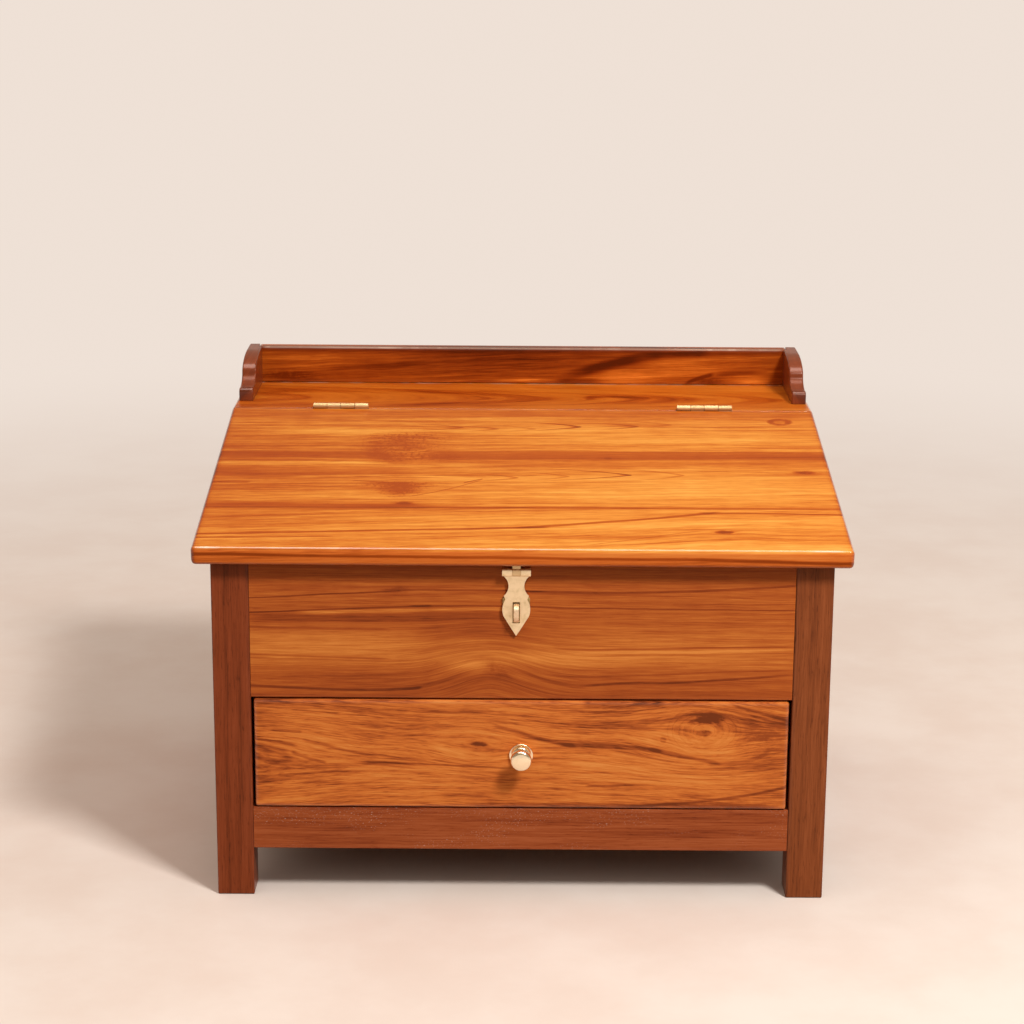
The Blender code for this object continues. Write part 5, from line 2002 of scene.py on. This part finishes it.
LID_FIGURE = Figure(
    seed=1.3,
    spacing=0.0068,
    waver=0.007,
    run=7.0,
    strips=(
        Strip(pith_across=-0.12, pith_lean=0.06, pith_depth=0.10),
        Strip(edge=0.1085, pith_across=0.46, pith_lean=0.03, pith_depth=0.10),
        Strip(edge=0.2620, pith_across=0.64, pith_lean=0.02, pith_depth=0.10, shift=0.07),
    ),
    knots=(
        Knot(-0.133, 0.276, 0.036, 0.036, part=0.5, stain=0.20, specks=0.38),
        Knot(-0.130, 0.306, 0.036, 0.009, stain=0.20, specks=0.40),
        Knot(-0.164, 0.276, 0.009, 0.024, stain=0.20),
        Knot(-0.110, 0.246, 0.036, 0.008, stain=0.24, specks=0.30),
        Knot(-0.143, 0.238, 0.014, 0.010, stain=0.22),
        Knot(-0.132, 0.167, 0.030, 0.007, part=0.4, stain=0.42, specks=0.60),
        Knot(-0.131, 0.151, 0.017, 0.013, part=0.4, stain=0.42, specks=0.60),
        Knot(-0.1250, 0.1165, 0.010, 0.005, stain=0.60, core=0.10),
        Knot(0.293, 0.359, 0.0105, 0.0078, part=0.6, stain=0.14, hoop=0.46),
        Knot(0.305, 0.207, 0.014, 0.0055, part=0.6, stain=0.50, core=0.20),
        Knot(0.207, 0.045, 0.012, 0.0045, part=0.5, stain=0.50, core=0.40),
        Knot(0.200, 0.034, 0.085, 0.030, lift=0.010),
        Knot(0.094, 0.2435, 0.005, 0.005, core=0.12),
        Knot(0.170, 0.160, 0.200, 0.050, glow=0.22),
        Knot(0.160, 0.060, 0.230, 0.036, glow=0.14),
        Knot(0.160, 0.295, 0.170, 0.024, glow=0.20),
        Knot(0.010, 0.333, 0.100, 0.012, glow=0.12),
        Knot(-0.200, 0.323, 0.090, 0.011, glow=0.18),
        Knot(-0.230, 0.130, 0.120, 0.030, glow=0.02),
        Knot(-0.310, 0.230, 0.130, 0.170, glow=-0.13),
        Knot(0.160, 0.010, 0.260, 0.014, glow=0.22),
        Knot(-0.240, 0.008, 0.200, 0.010, glow=0.12),
        # Painted shade: darker bands along the lid's two rounded side edges.
        Knot(-0.3355, 0.170, 0.0042, 0.600, glow=-0.34),
        Knot(0.3355, 0.170, 0.0042, 0.600, glow=-0.30),
    ),
    tips=(
        Tip(-0.067, 0.336, 0.036, 0.009, 0.50),
        Tip(-0.027, 0.332, 0.030, 0.007, 0.50),
        Tip(0.015, 0.332, 0.034, 0.009, 0.26),
        Tip(0.066, 0.340, 0.042, 0.011, 0.80),
        Tip(0.131, 0.342, 0.030, 0.008, 0.52),
        Tip(0.169, 0.348, 0.030, 0.008, 0.24),
        Tip(-0.005, 0.188, 0.036, 0.010, 0.36),
        Tip(0.050, 0.192, 0.050, 0.013, 0.24),
        Tip(0.117, 0.197, 0.068, 0.014, 0.76),
        Tip(0.174, 0.197, 0.060, 0.017, 0.28),
    ),
    streaks=(
        Streak(-0.40, 0.40, 0.378, 0.385, 0.016, 0.16, taper=0.01),
        Streak(-0.40, 0.40, -0.0150, -0.0170, 0.0060, 0.12, taper=0.01),
        Streak(-0.40, 0.40, -0.0062, -0.0138, 0.0017, 0.52, taper=0.01),
        Streak(-0.12, 0.42, 0.2500, 0.2535, 0.0130, 0.32, taper=0.08),
        Streak(-0.12, 0.42, 0.260, 0.267, 0.0016, 0.16, taper=0.10),
        Streak(-0.37, -0.14, 0.252, 0.250, 0.010, 0.26, taper=0.06),
        Streak(-0.37, -0.13, 0.2245, 0.228, 0.006, -0.22, taper=0.2),
        Streak(-0.37, -0.10, 0.203, 0.204, 0.013, 0.20, taper=0.15),
        Streak(-0.10, 0.42, 0.222, 0.228, 0.010, 0.14, taper=0.2),
        Streak(-0.26, -0.04, 0.186, 0.185, 0.0030, -0.22, bow=0.006, taper=0.2),
        Streak(-0.34, -0.29, 0.170, 0.172, 0.0022, 0.26),
        Streak(-0.33, -0.16, 0.152, 0.164, 0.0010, 0.22),
        Streak(-0.185, -0.120, 0.178, 0.169, 0.0012, 0.34),
        Streak(-0.122, -0.040, 0.136, 0.1845, 0.0010, 0.30, bow=-0.005),
        Streak(-0.064, -0.042, 0.1725, 0.1845, 0.0012, 0.46),
        Streak(-0.40, -0.06, 0.110, 0.107, 0.009, 0.34, taper=0.3),
        Streak(-0.40, 0.02, 0.1030, 0.1065, 0.0015, 0.22, taper=0.06),
        Streak(-0.20, 0.42, 0.1070, 0.1090, 0.0040, 0.24, taper=0.15),
        Streak(-0.05, 0.42, 0.1065, 0.1085, 0.0012, 0.20, taper=0.10),
        Streak(0.10, 0.42, 0.118, 0.120, 0.0010, 0.16),
        Streak(-0.36, 0.03, 0.033, 0.0555, 0.0018, 0.46, taper=0.03),
        Streak(-0.10, 0.05, 0.0455, 0.0570, 0.0030, 0.20, taper=0.3),
        Streak(-0.01, 0.21, 0.0535, 0.0985, 0.0028, 0.50, bow=-0.004, taper=0.08),
        Streak(0.18, 0.36, 0.0955, 0.0915, 0.0015, 0.50, bow=0.001, taper=0.06),
        Streak(-0.36, -0.19, 0.0245, 0.0305, 0.0011, 0.34, taper=0.06),
        Streak(0.06, 0.19, 0.010, 0.042, 0.0009, 0.22),
        Streak(0.16, 0.25, 0.054, 0.055, 0.0009, 0.20, bow=0.004),
        Streak(0.17, 0.25, 0.0455, 0.0445, 0.0010, 0.28),
        Streak(-0.28, -0.16, 0.163, 0.160, 0.0012, 0.20),
    ),
    # Painted highlights: pale lines along the lid's rounded front arris, brightest near both ends.
    dust_lines=(
        Streak(-0.333, 0.333, 0.0008, 0.0008, 0.0011, 0.30, taper=0.05),
        Streak(-0.334, -0.300, 0.0008, 0.0008, 0.0013, 0.95, taper=0.30),
        Streak(-0.320, -0.120, 0.0008, 0.0008, 0.0012, 0.55, taper=0.40),
        Streak(0.285, 0.328, 0.0008, 0.0008, 0.0013, 1.00, taper=0.30),
    ),
    dust_steady=0.70,
)
PANEL_FIGURE = Figure(
    seed=5.9,
    spacing=0.0062,
    waver=0.004,
    strips=(Strip(pith_across=-0.25, pith_depth=0.10),),
    knots=(
        Knot(-0.034, 0.028, 0.050, 0.042, lift=0.020),
        Knot(-0.128, 0.1157, 0.012, 0.0028, stain=0.40),
        Knot(-0.030, 0.034, 0.012, 0.007, stain=0.34),
        Knot(-0.018, 0.026, 0.010, 0.006, stain=0.24),
        # Darker patch left of the hasp: partly the wood's colour, partly painted shadow of the hasp.
        Knot(-0.050, 0.076, 0.080, 0.012, glow=-0.16),
        Knot(-0.200, 0.052, 0.120, 0.018, glow=0.32),
        Knot(-0.220, 0.090, 0.150, 0.010, glow=-0.12),
        Knot(-0.050, 0.036, 0.026, 0.006, glow=0.40),
        Knot(0.030, 0.044, 0.070, 0.008, glow=0.30),
        Knot(0.170, 0.050, 0.160, 0.016, glow=0.22),
        Knot(-0.170, 0.018, 0.130, 0.014, glow=-0.20),
        Knot(0.160, 0.012, 0.160, 0.014, glow=-0.14),
    ),
    streaks=(
        Streak(-0.29, -0.12, 0.1068, 0.1150, 0.0009, 0.42, taper=0.04),
        Streak(-0.14, 0.03, 0.1160, 0.1150, 0.0009, 0.34),
        Streak(-0.01, 0.29, 0.1150, 0.1240, 0.0013, 0.36, bow=-0.004, taper=0.05),
        Streak(-0.29, -0.09, 0.0912, 0.0990, 0.0010, 0.40, taper=0.04),
        Streak(-0.12, 0.29, 0.0985, 0.0967, 0.0009, 0.40, taper=0.04),
        Streak(-0.24, 0.02, 0.0912, 0.0945, 0.0022, -0.34, bow=0.001),
        Streak(-0.29, 0.00, 0.0850, 0.0870, 0.0060, 0.22, taper=0.10),
        Streak(-0.29, -0.13, 0.0762, 0.0735, 0.0014, 0.30, taper=0.10),
        Streak(-0.29, -0.13, 0.0465, 0.0415, 0.0009, 0.34),
        Streak(-0.29, -0.13, 0.0425, 0.0390, 0.0007, 0.22),
        Streak(0.02, 0.29, 0.0515, 0.0578, 0.0010, 0.36, taper=0.10),
        Streak(0.04, 0.29, 0.0490, 0.0540, 0.0014, -0.20, taper=0.10),
        Streak(0.06, 0.29, 0.0460, 0.0510, 0.0010, 0.16, taper=0.10),
        Streak(0.02, 0.29, 0.0215, 0.0330, 0.0009, 0.24),
        Streak(0.05, 0.15, 0.0120, 0.0180, 0.0014, 0.34, bow=0.002, taper=0.30),
        Streak(0.12, 0.29, 0.0170, 0.0290, 0.0013, 0.36, bow=-0.002, taper=0.20),
        Streak(-0.02, 0.08, 0.0180, 0.0115, 0.0020, 0.28, taper=0.40),
        Streak(-0.29, -0.10, 0.0128, 0.0090, 0.0016, 0.40, bow=-0.002, taper=0.04),
        Streak(-0.14, -0.03, 0.0090, 0.0120, 0.0022, 0.28, taper=0.45),
        Streak(-0.29, 0.29, 0.0020, 0.0030, 0.0050, 0.14, taper=0.02),
        # Painted shadow: a dark band along the top, under the lid's overhang.
        Streak(-0.29, 0.29, 0.1330, 0.1330, 0.0080, 0.14, taper=0.01),
    ),
)
DRAWER_FIGURE = Figure(
    seed=8.4,
    spacing=0.0052,
    waver=0.010,
    curl=0.004,
    run=9.0,
    strips=(Strip(pith_across=-0.30, pith_lean=-0.03, pith_depth=0.06),),
    knots=(
        Knot(0.262, 0.040, 0.022, 0.050, glow=-0.12),
        # Painted shade: darker towards the drawer front's rounded left end.
        Knot(-0.272, 0.060, 0.016, 0.060, glow=-0.10),
        Knot(-0.310, 0.0485, 0.130, 0.045, part=0.85),
        Knot(0.191, 0.086, 0.066, 0.036, part=0.85),
        Knot(0.189, 0.086, 0.036, 0.025, rings=0.16, glow=0.10),
        Knot(0.1950, 0.1000, 0.017, 0.0075, stain=0.30, core=0.30),
        Knot(0.1830, 0.0960, 0.013, 0.0040, core=0.22),
        Knot(0.1880, 0.0838, 0.012, 0.0038, stain=0.30, core=0.42),
        Knot(-0.0436, 0.0688, 0.050, 0.022, part=0.75),
        Knot(-0.0436, 0.0688, 0.028, 0.013, glow=0.16),
        Knot(-0.0436, 0.0688, 0.011, 0.0030, stain=0.2, core=0.40),
        # Painted shade: darker towards the drawer front's rounded left end.
        Knot(-0.275, 0.055, 0.025, 0.070, glow=-0.12),
        Knot(0.252, 0.076, 0.030, 0.017, stain=0.30),
        Knot(0.147, 0.0764, 0.004, 0.004, core=0.25),
        Knot(0.090, 0.045, 0.090, 0.016, glow=0.20),
        Knot(0.020, 0.058, 0.040, 0.012, glow=-0.08),
        Knot(0.225, 0.006, 0.060, 0.010, stain=0.22),
    ),
    streaks=(
        Streak(-0.18, 0.00, 0.0490, 0.0430, 0.0010, 0.46),
        Streak(-0.18, -0.10, 0.0485, 0.0465, 0.0024, 0.26, taper=0.4),
        Streak(-0.035, 0.06, 0.0925, 0.0680, 0.0024, 0.36, bow=-0.002),
        Streak(0.035, 0.15, 0.0695, 0.0645, 0.0024, 0.46, bow=0.001),
        Streak(0.13, 0.21, 0.0665, 0.0510, 0.0024, 0.44),
        Streak(0.19, 0.26, 0.0510, 0.0650, 0.0026, 0.28, bow=-0.006),
        Streak(0.065, 0.12, 0.0250, 0.0262, 0.0013, 0.40),
        Streak(0.11, 0.29, 0.0030, 0.0290, 0.0016, 0.40, bow=-0.005, taper=0.08),
        Streak(-0.05, 0.26, 0.0015, 0.0035, 0.0040, 0.30, taper=0.08),
        Streak(0.06, 0.15, 0.1135, 0.1140, 0.0024, 0.34),
        Streak(0.215, 0.29, 0.1158, 0.0925, 0.0014, 0.34),
        Streak(0.235, 0.29, 0.1040, 0.0880, 0.0014, 0.28),
        Streak(-0.29, -0.23, 0.0770, 0.0655, 0.0016, 0.40),
        Streak(-0.24, -0.20, 0.0600, 0.0470, 0.0018, 0.38),
        Streak(-0.23, -0.145, 0.0735, 0.0530, 0.0016, 0.36),
        Streak(-0.26, -0.225, 0.0840, 0.0805, 0.0018, 0.30),
        Streak(-0.24, -0.185, 0.1065, 0.1015, 0.0009, 0.32),
        Streak(0.025, 0.065, 0.0482, 0.0465, 0.0012, 0.30),
    ),
)
RAIL_FIGURE = Figure(
    seed=12.7,
    spacing=0.0058,
    waver=0.004,
    strips=(Strip(pith_across=-0.3, pith_depth=0.2),),
    streaks=(
        Streak(-0.05, 0.10, 0.028, 0.027, 0.0010, 0.20),
        Streak(0.06, 0.29, 0.020, 0.023, 0.0010, 0.16),
    ),
)
LEDGE_FIGURE = Figure(
    seed=15.2,
    spacing=0.008,
    strips=(Strip(pith_across=0.06, pith_depth=0.09, pith_fall=0.05),),
    knots=(
        Knot(-0.285, 0.092, 0.035, 0.010, stain=0.25),
        Knot(0.082, 0.064, 0.010, 0.010, stain=0.36),
        Knot(0.142, 0.062, 0.009, 0.008, stain=0.26),
    ),
    streaks=(Streak(0.070, 0.155, 0.070, 0.066, 0.006, 0.36, bow=0.004),),
    dust_lines=(Streak(-0.33, 0.33, 0.1465, 0.1465, 0.0016, 0.5, taper=0.01),),
)
GALLERY_FIGURE = Figure(
    seed=18.8,
    spacing=0.008,
    waver=0.006,
    strips=(Strip(pith_across=-0.12, pith_lean=0.04, pith_depth=0.06),),
    knots=(
        Knot(-0.280, 0.0090, 0.032, 0.0060, stain=0.42),
        Knot(-0.240, 0.0300, 0.090, 0.0070, glow=0.14),
        Knot(0.125, 0.0070, 0.045, 0.0110, glow=0.40),
        Knot(0.200, 0.0210, 0.060, 0.0090, glow=0.34),
        Knot(0.228, 0.0050, 0.018, 0.0060, stain=0.34),
        Knot(0.275, 0.0060, 0.024, 0.0065, glow=0.36),
        # Painted reflection: a darker zone along the middle of the rail's upper part.
        Knot(-0.030, 0.0330, 0.160, 0.0140, glow=-0.33),
    ),
    streaks=(
        Streak(0.030, 0.180, 0.0005, 0.0385, 0.0062, 0.52, bow=0.004, taper=0.38),
        Streak(0.140, 0.235, 0.0345, 0.0400, 0.0040, 0.34, taper=0.25),
        Streak(0.033, 0.100, 0.0020, 0.0035, 0.0032, 0.36, taper=0.3),
        Streak(0.194, 0.234, -0.0005, 0.0142, 0.0024, 0.50, bow=0.002, taper=0.2),
        Streak(0.220, 0.300, 0.0135, 0.0168, 0.0028, 0.40, taper=0.35),
        Streak(-0.260, -0.100, 0.0145, 0.0255, 0.0030, 0.26, taper=0.3),
        Streak(-0.045, 0.040, 0.0022, 0.0030, 0.0022, -0.30, taper=0.3),
        Streak(-0.33, 0.33, 0.0415, 0.0420, 0.0050, 0.30, taper=0.02),
    ),
    # Painted highlight: a pale line along the rail's rounded top front arris, stronger towards both ends.
    dust_lines=(
        Streak(-0.318, 0.318, 0.0424, 0.0424, 0.0006, 0.52, taper=0.02),
        Streak(-0.318, -0.080, 0.0424, 0.0424, 0.0006, 0.80, taper=0.40),
        Streak(0.130, 0.318, 0.0424, 0.0424, 0.0006, 0.80, taper=0.40),
    ),
    dust_steady=0.72,
)
LEG_FIGURE = Figure(seed=3.1, strips=(Strip(pith_across=0.09, pith_depth=0.05),), spacing=0.0045)
SIDE_FIGURE = Figure(
    seed=25.0, strips=(Strip(pith_across=0.14, pith_depth=0.06, pith_fall=0.10),), spacing=0.008
)
BACK_FIGURE = Figure(
    seed=33.0,
    strips=(
        Strip(pith_across=0.07, pith_depth=0.05, pith_fall=0.11),
        Strip(edge=0.19, pith_across=0.26, pith_depth=0.07, pith_fall=-0.09, shift=0.3),
    ),
    spacing=0.008,
)
FLOOR_FIGURE = Figure(
    seed=41.0, strips=(Strip(pith_across=0.25, pith_depth=0.06, pith_fall=0.08),), spacing=0.009
)
RUNNER_FIGURE = Figure(seed=51.0, spacing=0.006)
GUIDE_FIGURE = Figure(seed=50.0, spacing=0.006)
BRACKET_FIGURE = Figure(seed=55.0, strips=(Strip(pith_across=-0.03, pith_depth=0.05),), spacing=0.005)
DRAWER_SIDE_FIGURE = Figure(seed=61.0, strips=(Strip(pith_across=0.05, pith_depth=0.05, pith_fall=0.07),))
DRAWER_BACK_FIGURE = Figure(seed=71.0, strips=(Strip(pith_across=0.03, pith_depth=0.04, pith_fall=0.06),))
DRAWER_BOTTOM_FIGURE = Figure(
    seed=77.0, strips=(Strip(pith_across=0.2, pith_depth=0.05, pith_fall=0.1),), spacing=0.010
)


@dataclass
class Studio:
    """Floor, light and camera."""

    floor_reach: float = 40.0
    floor_colour: Triple = (0.80, 0.735, 0.69)
    floor_shade: Triple = (0.75, 0.660, 0.605)
    floor_bounce: float = 0.35
    floor_roughness: float = 0.75
    mottle: Lumps = Lumps(5.0, 5.0, 1.0, 5.0, 0.6)
    mottle_edge: Pair = (0.3, 0.7)
    near: float = 0.6
    far: float = 2.8
    horizon: Triple = (0.86, 0.75, 0.67)
    overhead: Triple = (0.30, 0.24, 0.18)
    backdrop_rise: Pair = (0.05, 0.50)
    mirrored_rise: Pair = (0.03, 0.30)
    lamp_glow: Triple = (7.5, 6.9, 6.3)
    lamp_edge: Pair = (0.915, 0.965)
    ambient_left: Triple = (1.00, 0.81, 0.68)
    ambient_right: Triple = (0.45, 0.40, 0.35)
    ambient_low: Triple = (0.012, 0.005, 0.002)
    ambient_rise: Pair = (0.08, 0.52)
    key_place: Triple = (1.30, -1.95, 2.75)
    key_size: float = 0.6
    key_power: float = 95.0
    key_colour: Triple = (1.0, 0.95, 0.89)
    key_aim: Triple = (0.0, 0.0, 0.22)
    lens: float = 86.615
    camera_place: Triple = (-0.00825, -2.66705, 1.0388)
    camera_pitch: float = math.radians(14.4696)
    camera_roll: float = math.radians(0.3687)
    camera_yaw: float = math.radians(0.0654)

    def build(self) -> None:
        """Sets the stage."""
        self.floor()
        self.world()
        self.key()
        self.camera()
        bpy.context.scene.view_settings.view_transform = "Standard"

    def floor(self) -> None:
        """A plain pale floor that runs out into the pale background."""
        form = bmesh.new()
        bmesh.ops.create_grid(form, x_segments=2, y_segments=2, size=self.floor_reach)
        mesh = Bench.mesh(form, "floor")
        made, wiring, shader = start_material("pale_floor")
        x, y, z = wiring.parts(wiring.place())
        patches = self.mottle.over(wiring, x, y, z).step(*self.mottle_edge)
        colour = wiring.blend(patches, self.floor_shade, self.floor_colour)
        seen, _ = self.rays(wiring)
        dim = tuple(value * self.floor_bounce for value in self.floor_shade)
        inputs = {
            "Base Color": wiring.blend(seen, dim, colour),
            "Roughness": self.floor_roughness,
            "Specular IOR Level": 0.0,
        }
        wiring.fill(shader, inputs)
        glow = wiring.node("ShaderNodeEmission", {"Color": self.horizon, "Strength": 1.0})
        away = (x.squared() + y.squared()).root().step(self.near, self.far) * seen
        mix = wiring.node("ShaderNodeMixShader")
        faces = (away, Signal(wiring, shader.outputs[0]), Signal(wiring, glow.outputs[0]))
        for socket, value in zip(mix.inputs, faces):
            wiring.feed(socket, value)
        wiring.fill(made.node_tree.nodes["Material Output"], {"Surface": Signal(wiring, mix.outputs[0])})
        mesh.materials.append(made)
        Bench.put("floor", mesh)

    @staticmethod
    def rays(wiring: Wiring) -> tuple[Signal, Signal]:
        """Tells the rays apart.

        Args:
            wiring: the tree.

        Returns:
            1 for rays that look at a thing or mirror it and 0 for the light that it sheds, and 1 for
            rays that mirror it.
        """
        path = wiring.node("ShaderNodeLightPath")
        names = ("Is Camera Ray", "Is Glossy Ray", "Is Transmission Ray")
        camera, glossy, through = (Signal(wiring, path.outputs[name]) for name in names)
        return camera.most(glossy).most(through), glossy

    def world(self) -> None:
        """Soft light, stronger from the left, and a pale background; gloss also mirrors a lamp overhead."""
        world = bpy.data.worlds.new("studio")
        world.use_nodes = True
        bpy.context.scene.world = world
        wiring = Wiring(world.node_tree)
        side, _, height = wiring.parts(wiring.place("Generated"))
        height = height.size()
        backdrop = wiring.blend(height.step(*self.backdrop_rise), self.horizon, self.overhead)
        even = wiring.blend(side.step(-1.0, 1.0), self.ambient_left, self.ambient_right)
        even = wiring.blend(height.step(*self.ambient_rise), self.ambient_low, even)
        mirrored = wiring.blend(height.step(*self.mirrored_rise), self.horizon, self.overhead)
        mirrored = wiring.blend(height.step(*self.lamp_edge), mirrored, self.lamp_glow)
        seen, glossy = self.rays(wiring)
        colour = wiring.blend(glossy, wiring.blend(seen, even, backdrop), mirrored)
        wiring.fill(world.node_tree.nodes["Background"], {"Color": colour})

    def key(self) -> None:
        """One soft square lamp in front, above and to the right, turned to the desk."""
        lamp = bpy.data.lights.new("key", "AREA")
        lamp.size = self.key_size
        lamp.energy = self.key_power
        lamp.color = self.key_colour
        holder = Bench.put("key", lamp)
        holder.location = self.key_place
        aim = Vector(self.key_aim) - Vector(self.key_place)
        holder.rotation_euler = aim.to_track_quat("-Z", "Y").to_euler()

    def camera(self) -> None:
        """The camera, where the picture was taken from."""
        lens = bpy.data.cameras.new("camera")
        lens.lens = self.lens
        camera = Bench.put("camera", lens)
        turn = (
            Matrix.Rotation(self.camera_yaw, 4, "Z")
            @ Matrix.Rotation(math.pi / 2 - self.camera_pitch, 4, "X")
            @ Matrix.Rotation(self.camera_roll, 4, "Z")
        )
        camera.matrix_world = Matrix.Translation(self.camera_place) @ turn
        bpy.context.scene.camera = camera


def clear_start() -> None:
    """Removes what a new file holds beside the frame."""
    kept = {*frame["nodes"].values(), *frame["bodies"].values()}
    for stray in [found for found in bpy.data.objects if found not in kept]:
        bpy.data.objects.remove(stray, do_unlink=True)


def main() -> None:
    """Builds the desk's looks around its frame."""
    logging.basicConfig(level=logging.INFO, format="%(name)s: %(message)s")
    clear_start()
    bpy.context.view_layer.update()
    for assembly in (Studio(), Casework(), LedgeAndGallery(), Lid(), Drawer(), Hinges(), Hasp()):
        assembly.build()
        LOG.info("finished %s", type(assembly).__name__)


if __name__ == "__main__":
    main()
